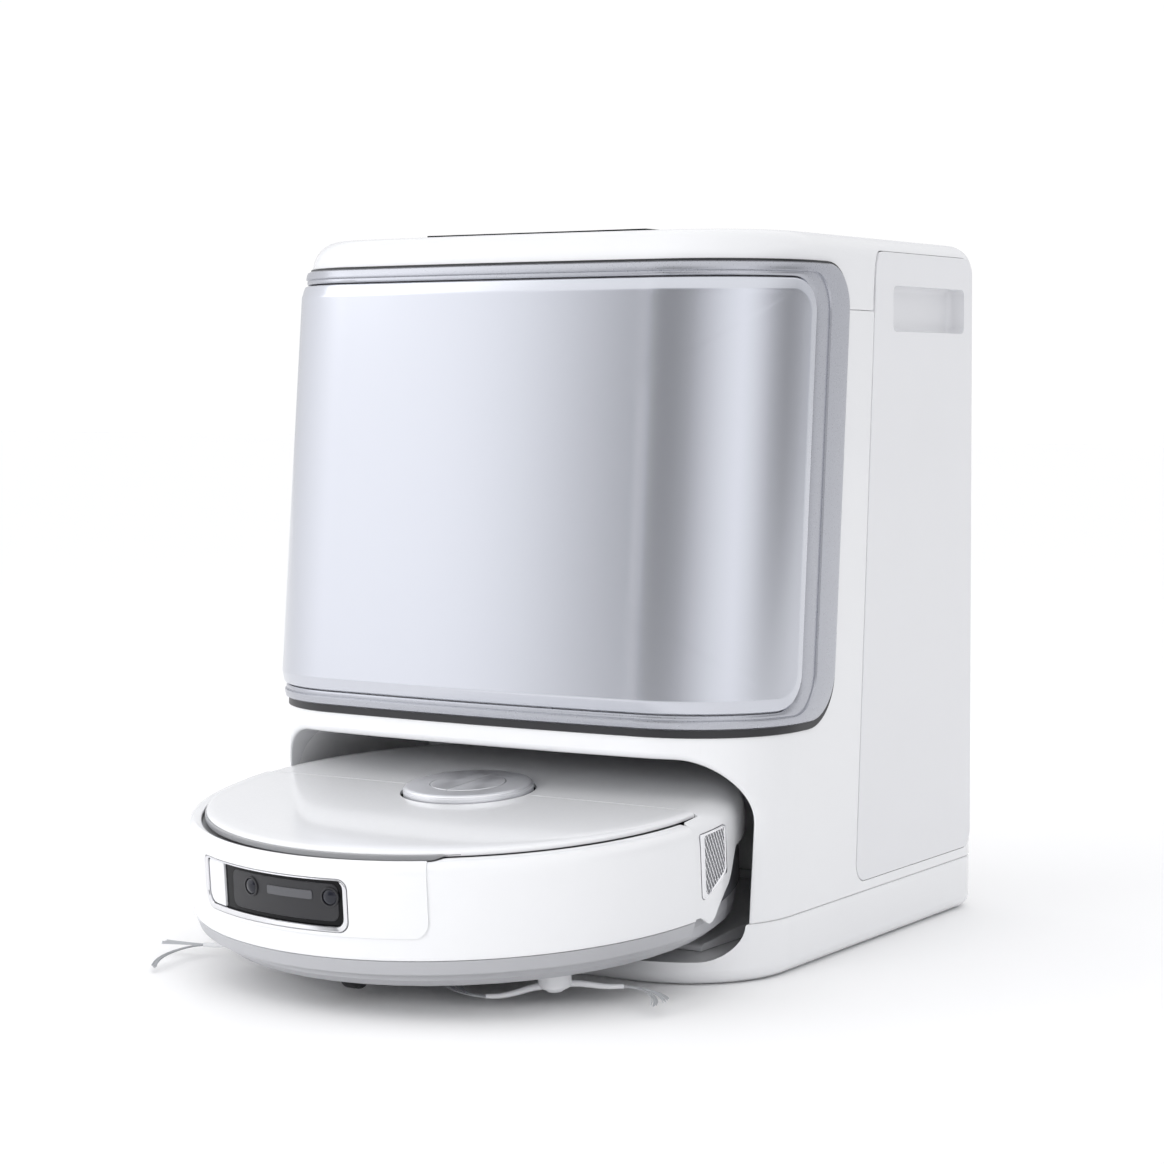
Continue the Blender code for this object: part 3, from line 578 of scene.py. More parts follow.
def base():
    rings = []
    for k in range(9):
        a = math.pi / 2 * k / 8
        rings.append(outline(0.010 * (1 - math.cos(a)), 0.012 * (1 - math.sin(a))))
    rings += [outline(0.030), outline(BASE_TOP - 0.0012), outline(BASE_TOP - GAP, 0.0006)]
    tray = loft("base_shell", rings, WHITE)
    tools = [bay_loft("bay_tool", (-0.40, BAY_REAR), 0.0, FLOOR_T, 0.021),
             block("pump_well", (-0.15, BAY_REAR + 0.006, 0.006), (0.15, REAR_Y - 0.012, 0.06))]
    for name, x, y in (("front_left", -0.125, -0.10), ("front_right", 0.125, -0.10),
                       ("rear_left", -0.140, 0.135), ("rear_right", 0.140, 0.135)):
        tools.append(disc("pocket", 0.0104, (x, y, 0.0), 0.0066, edge=0.0))
        foot = disc("foot_pad_" + name, 0.0100, (x, y, 0.0015), 0.003, NUB, edge=0.0008, steps=48)
        wear(foot, "station", "rubber", "foot_" + name)
    carve(tray, tools)
    soften(tray, 0.0012, 3, 50.0)
    wear(tray, "station", "white", "base_tray")

    low = FLOOR_T + GAP

    def top(y, under):
        return low + MOP_Z - FOOT_Z - 0.0005 + (y - ROBOT_Y) * math.tan(TILT) - under

    front, rear = -0.134, BAY_REAR - 0.002
    rings = [[(-0.145, y, low), (0.145, y, low), (0.145, y, top(y, under)),
              (-0.145, y, top(y, under))]
             for y, under in ((front, 0.0030), (front + 0.003, 0.0016), (rear - 0.003, 0.0016),
                              (rear, 0.0026))]
    plate = soften(loft("tray_plate", rings, SATIN), 0.0008)
    ribs = []
    for side, _ in SIDES:
        for a in around(24):
            bars = []
            for r in (0.012, 0.051):
                x = side * MOP_X + r * math.cos(a)
                y = MOP_Y + r * math.sin(a)
                wx, wy = -0.0009 * math.sin(a), 0.0009 * math.cos(a)
                bars.append([(x - wx, y - wy, top(y, 0.0024)), (x + wx, y + wy, top(y, 0.0024)),
                             (x + wx * 0.5, y + wy * 0.5, top(y, 0.0003)),
                             (x - wx * 0.5, y - wy * 0.5, top(y, 0.0003))])
            ribs.append(loft("rib", bars))
        for r in (0.011, 0.053):
            rings = []
            for a in around(72):
                ring = []
                for dr, under in ((-0.0012, 0.0024), (0.0012, 0.0024), (0.0006, 0.0001),
                                  (-0.0006, 0.0001)):
                    x, y = side * MOP_X + (r + dr) * math.cos(a), MOP_Y + (r + dr) * math.sin(a)
                    ring.append((x, y, top(y, under)))
                rings.append(ring)
            ribs.append(loft("hoop", rings, closed=True))
    wear(merge("tray_surface", [plate] + ribs, SATIN), "station", "soft_white", "wash_tray")


def relief_ring(x):
    """The room a side panel needs in the lid, as the lid swings up around it."""
    grow, foot, bend = 0.0005, 0.400, PANEL_HIGH - PANEL_R
    rear, front = PANEL_REAR - PANEL_R + grow, PANEL_FRONT + PANEL_LEAN * bend + PANEL_R
    points = [(PANEL_REAR + 0.001, foot)]
    points += arc_points(rear, bend, PANEL_R + grow, 0, 90, 8)
    points += arc_points(front, bend, PANEL_R + grow, 90, 180, 8)
    swing = math.hypot(HINGE_Y - (front - PANEL_R - grow), bend - LID_SEAM)
    for k in range(1, 7):
        z = bend + (foot - bend) * k / 6
        points.append((HINGE_Y - math.sqrt(swing ** 2 - (z - LID_SEAM) ** 2), z))
    return [(x, y, z) for y, z in points]


def hinge_room(name):
    """A cutter for the groove around the lid's hinge rod."""
    return disc(name, 0.0026, (0, HINGE_Y, LID_SEAM), 0.2408, axis='X', edge=0.0)


def shell():
    low, high = BASE_TOP, LID_SEAM - GAP
    rings = [outline(low, 0.0006), outline(low + 0.0008)]
    rings += [outline(low + (high - low) * k / 6) for k in range(1, 6)]
    rings += [outline(high - 0.0008), outline(high, 0.0006)]
    body = loft("shell_body", rings, WHITE)
    start = front_line(0.08) + 0.050
    tools = [bay_tool(BAY_REAR + LINER_ROOM, 0.0055, -0.03),
             block("tank_cut", (-0.166, -0.070, 0.190), (0.166, 0.166, 0.50), radius=0.004),
             block("front_cut", (-0.135, -0.30, 0.176), (0.135, -0.078, 0.403), radius=0.004),
             block("rear_cut", (-0.150, BAY_REAR + 0.006, 0.03), (0.150, 0.30, 0.180)),
             hinge_room("hinge_groove"),
             bay_loft("liner_room", (start, BAY_REAR + LINER_ROOM), LINER_ROOM, BASE_TOP - 0.02)]
    carve(body, tools)
    # Below this height the liner takes its lit near-white copy, painted light; above it the grey
    # copy, the ceiling's painted shade.
    split = 0.132
    for name, look, label, low, high, nodes in (
            ("liner_walls", LIT_LINER, "soft_white", split, 0.30, ["bay_liner"]),
            ("liner_ceiling_shaded", SHADED_CEILING, "grey", -0.30, split + 0.0001, [])):
        liner = bay_loft(name, (start + 0.0002, BAY_REAR + LINER_T), LINER_T, BASE_TOP + GAP,
                         mat=look)
        carve(liner, [bay_loft("liner_cut", (-0.40, BAY_REAR)),
                      block("other_part", (-0.30, -0.40, low), (0.30, 0.30, high))])
        wear(liner, "station", label, *nodes)

    for side, name in SIDES:
        def across(near, far, y0, z0, y1, z1):
            ends = sorted((side * near, side * far))
            return (ends[0], y0, z0), (ends[1], y1, z1)
        outer = HALF_W + 0.0006
        panel = loft("side_skin_" + name,
                     [panel_ring(side * (outer - 0.0036)), panel_ring(side * (outer - 0.0008)),
                      panel_ring(side * (outer - 0.0002), -0.0003),
                      panel_ring(side * outer, -0.0010)], SATIN, crisp=24.0)
        pocket = block("grip_box", *across(0.1735, 0.1865, 0.034, 0.393, 0.156, 0.436))
        hollow = block("grip_hollow", *across(0.1755, 0.20, 0.040, 0.400, 0.150, 0.430),
                       radius=0.0045, segments=6)
        carve(panel, [pocket], 'UNION')
        carve(panel, [hollow])
        wear(panel, "station", "soft_white", "side_panel_" + name)
        slot = loft("panel_slot", [panel_ring(side * x, GAP)
                                   for x in (outer - 0.0039, outer + 0.01)])
        seat_box = block("grip_seat", *across(0.1732, 0.20, 0.0337, 0.3927, 0.1563, 0.50))
        carve(body, [slot, seat_box])
    wear(body, "station", "white", "main_shell")

    rear = block("rear_skin", (-0.1497, REAR_Y - 0.0065, BASE_TOP + 0.001),
                 (0.1497, REAR_Y - 0.0005, 0.1797), SATIN, radius=0.0015)
    tools = [block("inlet_cut", (0.094, 0.10, 0.052), (0.126, 0.30, 0.076), radius=0.002)]
    for k in range(14):
        x = -0.120 + 0.0095 * k
        tools.append(block("vent", (x, REAR_Y - 0.0042, 0.096), (x + 0.0045, 0.30, 0.158),
                           radius=0.0015, segments=3))
    carve(rear, tools)
    wear(rear, "station", "soft_white", "rear_cover")
    socket = block("inlet_body", (0.0943, REAR_Y - 0.030, 0.0523),
                   (0.1257, REAR_Y - 0.001, 0.0757), DARK_AND_GAP_SHADE, radius=0.0015)
    carve(socket, [block("mouth", (0.098, REAR_Y - 0.020, 0.056), (0.122, 0.30, 0.072),
                         radius=0.0035)])
    pins = [disc("pin", 0.0011, (x, REAR_Y - 0.0150, 0.064), 0.011, axis='Y', edge=0.0004,
                 steps=20) for x in (0.1055, 0.1145)]
    wear(socket, "station", "dark", "power_inlet")
    wear(merge("inlet_pins", pins, BRASS), "station", "metal")


def top_lid():
    rings = [outline(LID_SEAM, 0.0006), outline(LID_SEAM + 0.0008)]
    rounding = 0.0175
    for k in range(13):
        a = math.pi / 2 * k / 12
        rings.append(outline(STATION_H - rounding * (1 - math.sin(a)),
                             rounding * (1 - math.cos(a))))
    lid = loft("lid_body", rings, WHITE)
    reach, low, high, radius = FRAME
    inner = (reach - 0.004, 0.380, high - 0.0006, radius - 0.001)
    tools = [block("over_tanks", (-0.166, -0.080, 0.40), (0.166, 0.170, 0.4525), radius=0.003),
             block("over_front", (-0.120, -0.132, 0.40), (0.120, -0.086, 0.4525)),
             block("heel", (-0.30, HINGE_Y - 0.0005, 0.40), (0.30, 0.30, LID_SEAM + 0.0034)),
             hinge_room("lid_groove"),
             front_panel("front_relief", [(*inner, -0.0060), (*inner, 0.02)], None)]
    for side, _ in SIDES:
        tools.append(loft("side_relief", [relief_ring(side * x) for x in (0.1729, 0.21)]))
    carve(lid, tools)
    wear(lid, "lid", "white", "top_lid")
    rod = disc("hinge_pin", 0.0022, (0, HINGE_Y, LID_SEAM), 0.240, CHROME, axis='X', edge=0.0005)
    wear(rod, "station", "metal", "lid_hinge_rod")
    display = block("display_glass", (-0.072, -0.1185, STATION_H + GAP),
                    (0.095, -0.066, STATION_H + 0.0013), GLASS, radius=0.0004)
    wear(display, "lid", "black_glass", "lid_display")


def door():
    reach, low, high, radius = FRAME
    inner, bottom, top, bend = DOOR

    def between(t, out, shift=0.0):
        """A ring part of the way from the frame's outer edge to the door's."""
        return (reach + (inner + 0.0008 - reach) * t - shift,
                low + (bottom - 0.0008 - low) * t + shift,
                high + (top + 0.0008 - high) * t - shift,
                radius + (bend + 0.0008 - radius) * t - shift, out)

    rings = [between(0.0, 0.0004), between(0.0, 0.0016), between(0.0, 0.0026, 0.0006),
             between(0.10, 0.0034), between(0.34, 0.0041), between(0.52, 0.0043),
             between(0.60, 0.0042), between(0.61, 0.0031), between(0.63, 0.0030),
             between(0.74, 0.0034), between(0.88, 0.0034), between(0.97, 0.0029),
             between(1.0, 0.0020), between(1.0, 0.0004)]
    frame_skin = front_panel("frame_skin", rings, STEEL, filled=False)
    wear(frame_skin, "station", "silver", "door_frame")
    # A black ring in the gap round the door frame: painted shade of the shadow gap between frame and
    # body.
    shadow_gap_rings = [(reach + 0.0022, low - 0.0050, high + 0.0014, radius + 0.002, 0.0003),
              (reach + 0.0020, low - 0.0046, high + 0.0012, radius + 0.002, 0.0012),
              (reach - 0.0010, low + 0.0010, high - 0.0010, radius - 0.001, 0.0013),
              (reach - 0.0012, low + 0.0012, high - 0.0012, radius - 0.001, 0.0003)]
    gap_shade_ring = front_panel("frame_gap_shade", shadow_gap_rings, DARK_AND_GAP_SHADE, filled=False)
    wear(gap_shade_ring, "station", "dark")

    def face(shift, out):
        return (inner - shift, bottom + shift, top - shift, max(bend - shift, 0.002), out)

    rings = [face(0.0, 0.0006), face(0.0, 0.0040), face(0.0004, 0.0046), face(0.0012, 0.0050),
             face(0.0066, 0.0064), face(0.0074, 0.0066), face(0.0084, 0.0066)]
    panel = front_panel("door_skin", rings, SILVER)
    wear(panel, "door", "silver", "front_door")


def works():
    """Tanks, bag, bottle, motor, pump and charging contacts."""
    for side, name, mat, slot in ((-1, "clean", TANK, "tank"), (1, "dirty", DIRTY, "dirty")):
        near, far = sorted((side * 0.004, side * 0.162))
        tank = block(name + "_body", (near, -0.068, 0.1905), (far, 0.158, 0.424), mat,
                     radius=0.009, segments=6)
        inside = block("space", (near + 0.003, -0.065, 0.1935), (far - 0.003, 0.155, 0.420),
                       radius=0.006)
        middle, cap_y, grip_r = side * 0.083, 0.080, 0.0288
        neck = disc("neck", 0.0283, (middle, cap_y, 0.420), 0.03, edge=0.0)
        carve(tank, [inside, neck])
        wear(tank, "station", slot, name + "_tank")
        cap = disc(name + "_cap_body", 0.0280, (middle, cap_y, 0.4260), 0.010, GREY, edge=0.0012,
                   top=0.0265)
        carve(cap, [disc("grip", 0.0018, (middle + grip_r * math.cos(a),
                                          cap_y + grip_r * math.sin(a), 0.4290), 0.012,
                         edge=0.0, steps=12) for a in around(24)])
        bar = block("bar", (middle - 0.021, 0.077, 0.4304), (middle + 0.021, 0.083, 0.4345),
                    radius=0.0015)
        wear(merge(name + "_cap", [cap, bar], GREY), "station", "grey", name + "_tank_cap")
        bow = ((-0.050, 0.4232), (-0.046, 0.4330), (-0.038, 0.4380), (0.0, 0.4395), (0.038, 0.4380),
               (0.046, 0.4330), (0.050, 0.4232))
        handle = tube(name + "_handle", [(middle + x, 0.010, z) for x, z in bow], 0.0035, GREY,
                      sides=14)
        wear(handle, "station", "grey")

    bag = block("bag_body", (-0.1195, -0.139, 0.177), (-0.0205, -0.079, 0.329), PAPER,
                radius=0.012, segments=6)
    bm = bmesh.new()
    bm.from_mesh(bag.data)
    bmesh.ops.subdivide_edges(bm, edges=bm.edges, cuts=3, use_grid_fill=True)
    for v in bm.verts:                      # soft folds, by the place across and up the bag
        u, w = (v.co.x + 0.07) / 0.05, (v.co.z - 0.253) / 0.076
        pull = 0.0016 * math.sin(9.0 * w + 2.0 * u) + 0.0012 * math.sin(23.0 * u + 5.0 * w)
        v.co.y += abs(pull) * (1 if v.co.y < -0.109 else -1)
    bm.to_mesh(bag.data)
    bm.free()
    settle(bag, 60.0)
    wear(bag, "station", "fabric", "dust_bag")
    bottle = block("bottle_body", (0.020, -0.138, 0.1765), (0.110, -0.0785, 0.340), SATIN,
                   radius=0.009, segments=6)
    neck = disc("neck", 0.014, (0.065, -0.108, 0.345), 0.03, edge=0.0012)
    carve(bottle, [neck], 'UNION')
    wear(bottle, "station", "soft_white", "detergent_bottle")
    motor = disc("motor_body", 0.046, (-0.080, 0.105, 0.108), 0.110, DARK_AND_GAP_SHADE, edge=0.004, top=0.040)
    wear(motor, "station", "dark", "suction_motor")
    pump = block("pump_body", (0.0, 0.075, 0.0500), (0.060, 0.135, 0.105), GREY, radius=0.005)
    wear(pump, "station", "grey", "water_pump")
    for side, name in SIDES:
        x = side * 0.028
        blade = block("contact_blade_" + name, (x - 0.006, SHELL_R + ROBOT_Y - 0.0047, 0.072),
                      (x + 0.006, BAY_REAR - 0.0035, 0.088), BRASS, radius=0.0015)
        wear(blade, "contact_" + name, "metal", "contact_" + name)


# Robot

def wrap(points, r, base=BUMPER_R):
    """Flat (run, height) points laid round the robot's side, at a radius."""
    return [(r * math.cos(s / base), ROBOT_Y + r * math.sin(s / base), z) for s, z in points]


def patch(first, last, low, high, radii, inset=0.0, slant=0.0, cuts=10):
    """A rounded outline on the robot's side between two angles, as (run, height) points.

    The radii run from the lower edge's first corner, anticlockwise; the lower edge may rise."""
    s0, s1 = math.radians(first) * BUMPER_R + inset, math.radians(last) * BUMPER_R - inset
    corners = [(s0, low + inset), (s1, low + slant + inset), (s1, high - inset),
               (s0, high - inset)]
    made = []
    curve = fillet(corners, [max(r - inset, 0.0005) for r in radii], 6)
    for k in range(4):
        made += curve[7 * k:7 * k + 7]
        made += along(curve[7 * k + 6], curve[(7 * k + 7) % 28], cuts)[1:]
    return made


def side_plate(name, spot, radii, levels, mat, slant=0.0, crisp=26.0):
    """A plate on the robot's side through (inset, radius) levels, from its back to its face."""
    rings = [(patch(*spot, radii, inset, slant), r) for inset, r in levels]

    def shrink(ring, r):
        cx = (min(p[0] for p in ring) + max(p[0] for p in ring)) / 2
        cz = (min(p[1] for p in ring) + max(p[1] for p in ring)) / 2
        return [([(cx + (s - cx) * (1 - t), cz + (z - cz) * (1 - t)) for s, z in ring], r)
                for t in (0.2, 0.4, 0.6, 0.8, 0.96)]

    rows = list(reversed(shrink(*rings[0]))) + rings + shrink(*rings[-1])
    return raw(name, stack([wrap(ring, r) for ring, r in rows]), mat, BODY, crisp)


def side_hoop(name, edges, mat, slant=0.0):
    """A closed frame on the robot's side: an edge is its spot, radii and (inset, radius) levels."""
    made = [wrap(patch(*spot, radii, inset, slant), r)
            for spot, radii, levels in edges for inset, r in levels]
    return loft(name, made, mat, BODY, 26.0, closed=True)


def side_tool(name, spot, radii, slant=0.0, cuts=10):
    """A cutter through the robot's side."""
    return loft(name, [wrap(patch(*spot, radii, 0.0, slant, cuts), r) for r in CUTTER_ENDS])


def cover(skin, tools, body, *nodes, rounding=0.0004, angle=50.0):
    """Cuts one of the robot's white skins, rounds its cut edges and puts it in its place."""
    carve(skin, tools)
    soften(skin, rounding, 2, angle)
    skin.data.transform(BODY)
    wear(skin, body, "white", *nodes)


def crossings(edge, lean, x0, z0):
    """Where a slanted line through a point meets a closed outline."""
    hits = []
    for (x1, z1), (x2, z2) in zip(edge, edge[1:] + edge[:1]):
        one, two = (z1 - z0) - lean * (x1 - x0), (z2 - z0) - lean * (x2 - x0)
        if (one > 0) != (two > 0):
            t = one / (one - two)
            hits.append((x1 + (x2 - x1) * t, z1 + (z2 - z1) * t))
    return hits


def smooth(first, last, x):
    t = min(1.0, max(0.0, (x - first) / (last - first)))
    return t * t * (3 - 2 * t)


def rear_shell():
    def profile(degrees):
        off = min(abs(degrees), abs(degrees - 180.0))
        inner = 1.0 if 0.0 <= degrees <= 180.0 else 0.0
        lift = smooth(1.5, 9.5, off) * 0.012 + smooth(8.0, 15.0, off) * 0.020
        low = BUMPER_Z - 0.006 * smooth(0.0, 1.0, 1 - off / 4) + lift * inner
        return [(0.0430, 0.0998), (0.0433, 0.1000), (0.100, 0.1000), (0.150, 0.0998),
                (0.1570, 0.0994), (0.1610, 0.0987), (0.1650, 0.0975), (0.1682, 0.0957),
                (0.1703, 0.0935), (0.1718, 0.0909), (0.1727, 0.0880), (0.1732, 0.0846),
                (0.1735, 0.0785), (SHELL_R, low + 0.0008), (SHELL_R - 0.0006, low),
                (0.1716, low), (0.1711, low + 0.0008), (0.1708, 0.0785), (0.1705, 0.0835),
                (0.1692, 0.0895), (0.1662, 0.0935), (0.1600, 0.0962), (0.150, 0.0970),
                (0.0430, 0.0973)]
    rear = turned("rear_skin", profile, WHITE, arc=(-5.5, 185.5), steps=220)
    tools = [block("seam_cut", (-0.1665, -0.60, 0.05), (0.1665, SEAM_Y, 0.20))]
    for side in (1, -1):
        hole = side_tool("grille_cut", (-3.2, 7.8, 0.0466, 0.0880), [0.003, 0.003, 0.002, 0.002],
                         GRILLE_RISE)
        if side < 0:
            mirror(hole)
        tools.append(hole)
    cover(rear, tools, "robot", "rear_shell")
    # A near-black sheet inside the rear shell's lower edge: painted shade of the cavity beneath the
    # shell.
    under = turned("rear_underside_shade", fillet([(0.1640, 0.0372), (0.1668, 0.0372), (0.1690, 0.0400),
                                             (0.1690, 0.0820), (0.1640, 0.0820)],
                                            [0.0, 0.001, 0.001, 0.0, 0.0]),
                   SHADE_AND_BAR_GREY, arc=(-4.5, 184.5), steps=120, place=BODY)
    wear(under, "robot", "dark")

    for side, name in ((1, "right"), (-1, "left")):
        spot, corners = (-3.05, 7.65, 0.0469, 0.0877), [0.0028, 0.0028, 0.0016, 0.0016]
        inner = (-1.75, 7.0, 0.0492, 0.0862)
        surround = side_hoop("surround", (
            (spot, corners, [(0.0, 0.1695), (0.0, 0.1738), (0.0005, 0.1743)]),
            (inner, corners, [(-0.0004, 0.1743), (0.0, 0.1737), (0.0, 0.1695)])),
            CHROME, GRILLE_RISE)
        back = side_plate("backing", (-2.6, 7.4, 0.0475, 0.0870), corners,
                          [(0.0, 0.1700), (0.0, 0.1712)], GREY, slant=GRILLE_RISE)
        wires = []
        edge = patch(*inner, corners, 0.0, GRILLE_RISE, cuts=1)
        for lean, r in ((-1.9, 0.1731), (1.9, 0.1727)):
            for k in range(-16, 17):
                hits = crossings(edge, lean, math.radians(2.6) * BUMPER_R + 0.0034 * k, 0.070)
                if len(hits) == 2:
                    wires.append(tube("wire", wrap(along(*hits, 6) + hits[1:], r), 0.00042,
                                      CHROME, BODY))
        mesh = merge("mesh", wires, CHROME)
        for obj, label in ((surround, "grille_surround_"), (back, "grille_backing_"),
                           (mesh, "grille_mesh_")):
            obj.name = label + name
            if side < 0:
                mirror(obj)
        wear(surround, "robot", "chrome", "side_grille_" + name)
        wear(back, "robot", "grey")
        wear(mesh, "robot", "chrome")


def crescent(degrees):
    """How far the grey trim between lid and bumper shows at an angle, from 0 to 1."""
    return smooth(203.0, 240.0, degrees) * (1.0 - smooth(297.0, 300.5, degrees))


def front_lid():
    profile = [(0.0430, 0.0998), (0.0433, 0.1000), (0.100, 0.1000), (0.150, 0.0998),
               (0.1590, 0.0996), (0.1618, 0.0992), (0.1633, 0.0986), (0.1640, 0.0980),
               (LID_R, 0.0973), (LID_R, 0.0961), (LID_R - 0.0003, 0.0958), (0.1600, 0.0958),
               (0.158, 0.0964), (0.150, 0.0970), (0.0430, 0.0973)]
    lid = turned("lid_skin", profile, WHITE, arc=(175.0, 365.0), steps=220)
    cover(lid, [block("trim", (-0.30, SEAM_Y - 0.0009, 0.05), (0.30, 0.30, 0.20))], "robot_lid",
          "front_lid", rounding=0.0003)

    def trim(degrees):
        wide = crescent(degrees)
        edge, foot = LID_R + 0.0001 + 0.0018 * wide, 0.0962 - 0.0022 * wide
        return [(0.1610, foot), (0.1610, 0.0970), (edge - 0.0007, 0.0975), (edge, 0.0970),
                (edge, foot + 0.0004), (edge - 0.0003, foot)]

    ring = turned("lid_side_trim", trim, RING, arc=(200.0, 303.0), steps=200, place=BODY)
    wear(ring, "robot_lid", "grey")
    under = turned("top_tray", [(0.0435, 0.0905), (0.160, 0.0905), (0.1632, 0.0918),
                                (0.1680, 0.0918), (0.1680, 0.0903), (0.160, 0.0890),
                                (0.0435, 0.0890)], RING,
                   arc=(180.0, 360.0), steps=120, place=BODY)
    wear(under, "robot", "grey")


def bumper_skin():
    def profile(degrees):
        wide = crescent(degrees)
        ri, top = 0.1653 + 0.0040 * wide, 0.0956 - 0.0011 * wide
        return [(ri, top - 0.0018), (ri, top - 0.0007), (ri + 0.0004, top - 0.0002),
                (ri + 0.0014, top), (0.1718, 0.0951 - 0.0004 * wide), (0.1735, 0.0942),
                (0.1750, 0.0927), (0.1760, 0.0908), (0.1766, 0.0885), (0.1769, 0.0855),
                (BUMPER_R, 0.0800), (0.1768, 0.060), (0.1758, 0.0400),
                (0.1757, BUMPER_Z + 0.0004), (0.1752, BUMPER_Z), (0.1732, BUMPER_Z),
                (0.1742, 0.060), (0.1745, 0.0865), (0.1733, 0.0892), (0.1712, 0.0915)]

    def window():
        return side_tool("window_cut", (240.6, 281.2, 0.0532, 0.0852),
                         [0.0105, 0.0070, 0.0064, 0.0052], cuts=16)

    skin = turned("bumper_skin", profile, WHITE, arc=BUMPER_ARC, steps=334)
    cover(skin, [window()], "bumper", "bumper", angle=55.0)

    raised = (226.0, 296.6, 0.0508, 0.110)
    panel = turned("raised_panel", [(0.1752, 0.0500), (0.1771, 0.0508), (0.1776, 0.0514),
                                    (0.1778, 0.0600), (0.1778, 0.0855), (0.1774, 0.0890),
                                    (0.1766, 0.0914), (0.1754, 0.0932), (0.1738, 0.0947),
                                    (0.1722, 0.0955), (0.1722, 0.0940), (0.1752, 0.0880)],
                   WHITE, arc=raised[:2], steps=140)
    carve(panel, [side_tool("panel_shape", raised, [0.010, 0.010, 0.002, 0.002], cuts=24)],
          'INTERSECT')
    cover(panel, [window()], "bumper")

    skirt = turned("skirt_skin", fillet([(0.1751, 0.0371), (0.1722, SKIRT_Z), (0.1695, SKIRT_Z),
                                         (0.1722, 0.0371)], [0.0004, 0.0012, 0.0004, 0.0004]),
                   SKIRT, arc=BUMPER_ARC, steps=200, place=BODY)
    wear(skirt, "bumper", "grey", "bumper_skirt")


def camera_module():
    spot, corners = (240.8, 281.0, 0.0535, 0.0849), [0.0103, 0.0068, 0.0062, 0.0050]
    inner, inside = (242.0, 280.1, 0.0566, 0.0839), [0.0080, 0.0052, 0.0050, 0.0036]
    bezel = side_hoop("bezel_rim", (
        (spot, corners, [(0.0, 0.1730), (0.0, 0.1776), (0.0003, 0.1781), (0.0008, 0.1783)]),
        (inner, inside, [(-0.0004, 0.1779), (0.0, 0.1773), (0.0, 0.1730)])), CHROME)
    wear(bezel, "bumper", "chrome", "window_bezel")
    for name, spot, radii, levels, mat, slot, *nodes in (
            ("window_glass", (242.1, 280.0, 0.0567, 0.0838), inside,
             [(0.0, 0.1735), (0.0, 0.1751), (0.0003, 0.1754)], GLASS, "black_glass",
             "camera_window"),
            ("side_plate", (242.3, 248.6, 0.0570, 0.0835), [0.0078, 0.0006, 0.0006, 0.0030],
             [(0.0, 0.1748), (0.0, 0.1765), (0.0003, 0.1768)], SATIN, "silver"),
            ("module_face", (251.5, 278.9, 0.0592, 0.0816), [0.0050] * 4,
             [(0.0, 0.1748), (0.0, 0.1757), (0.0004, 0.1760)], DARK_AND_GAP_SHADE, "dark"),
            ("light_bar", (262.2, 273.3, 0.0714, 0.0766), [0.0012] * 4,
             [(0.0, 0.1757), (0.0, 0.1764), (0.0003, 0.1766)], SHADE_AND_BAR_GREY, "grey", "status_light")):
        wear(side_plate(name, spot, radii, levels, mat), "bumper", slot, *nodes)
    for name, angle in (("left", 257.6), ("right", 277.2)):
        a = math.radians(angle)
        place = (BODY @ Matrix.Translation((0.1757 * math.cos(a),
                                            ROBOT_Y + 0.1757 * math.sin(a), 0.0737))
                 @ Matrix.Rotation(a, 4, 'Z') @ Matrix.Rotation(math.pi / 2, 4, 'Y'))
        profile = [(0.0, -0.0008), (0.0046, -0.0008), (0.0046, 0.0006), (0.0040, 0.0011),
                   (0.0028, 0.0016), (0.0014, 0.0019), (0.0, 0.0020)]
        eye = turned("lens_glass_" + name, profile, LENS, (0.0, 0.0), steps=48, place=place)
        wear(eye, "bumper", "black_glass", "lens_" + name)
        rim = turned("lens_rim_" + name, fillet([(0.0048, -0.0006), (0.0060, -0.0006),
                                                 (0.0060, 0.0010), (0.0048, 0.0014)],
                                                [0.0, 0.0, 0.0004, 0.0003]),
                     DARK_AND_GAP_SHADE, (0.0, 0.0), steps=48, place=place)
        wear(rim, "bumper", "dark")


def turret():
    top = TURRET_TOP
    profile = [(0.0, top - 0.0002), (0.0240, top - 0.0002), (0.0243, top), (0.0382, top),
               (0.0390, top - 0.0002), (0.0400, top - 0.0007), (0.0404, top - 0.0013),
               (0.0404, top - 0.0018), (TURRET_R, top - 0.0022), (TURRET_R, 0.0920),
               (TURRET_R - 0.0005, 0.0915), (0.0388, 0.0915), (0.0388, top - 0.0034),
               (0.0, top - 0.0030)]
    cap = turned("turret_skin", profile, BRUSHED, steps=192, crisp=24.0)
    carve(cap, [disc("button_well", 0.0243, (0, ROBOT_Y, top), 0.0200, edge=0.0)],
          crisp=24.0)
    cap.data.transform(BODY)
    wear(cap, "robot", "silver", "turret_cap")
    for label, sign in (("power_button", -1), ("home_button", 1)):
        key = disc(label + "_half", 0.0238, (0, ROBOT_Y, top - 0.00115), 0.0027, BRUSHED,
                   edge=0.0004, steps=96)
        cut = sorted((sign * 0.0003, sign * -0.05))
        carve(key, [block("half", (cut[0], ROBOT_Y - 0.05, 0.05), (cut[1], ROBOT_Y + 0.05, 0.15))],
              crisp=24.0)
        key.data.transform(BODY)
        wear(key, label, "chrome", label)


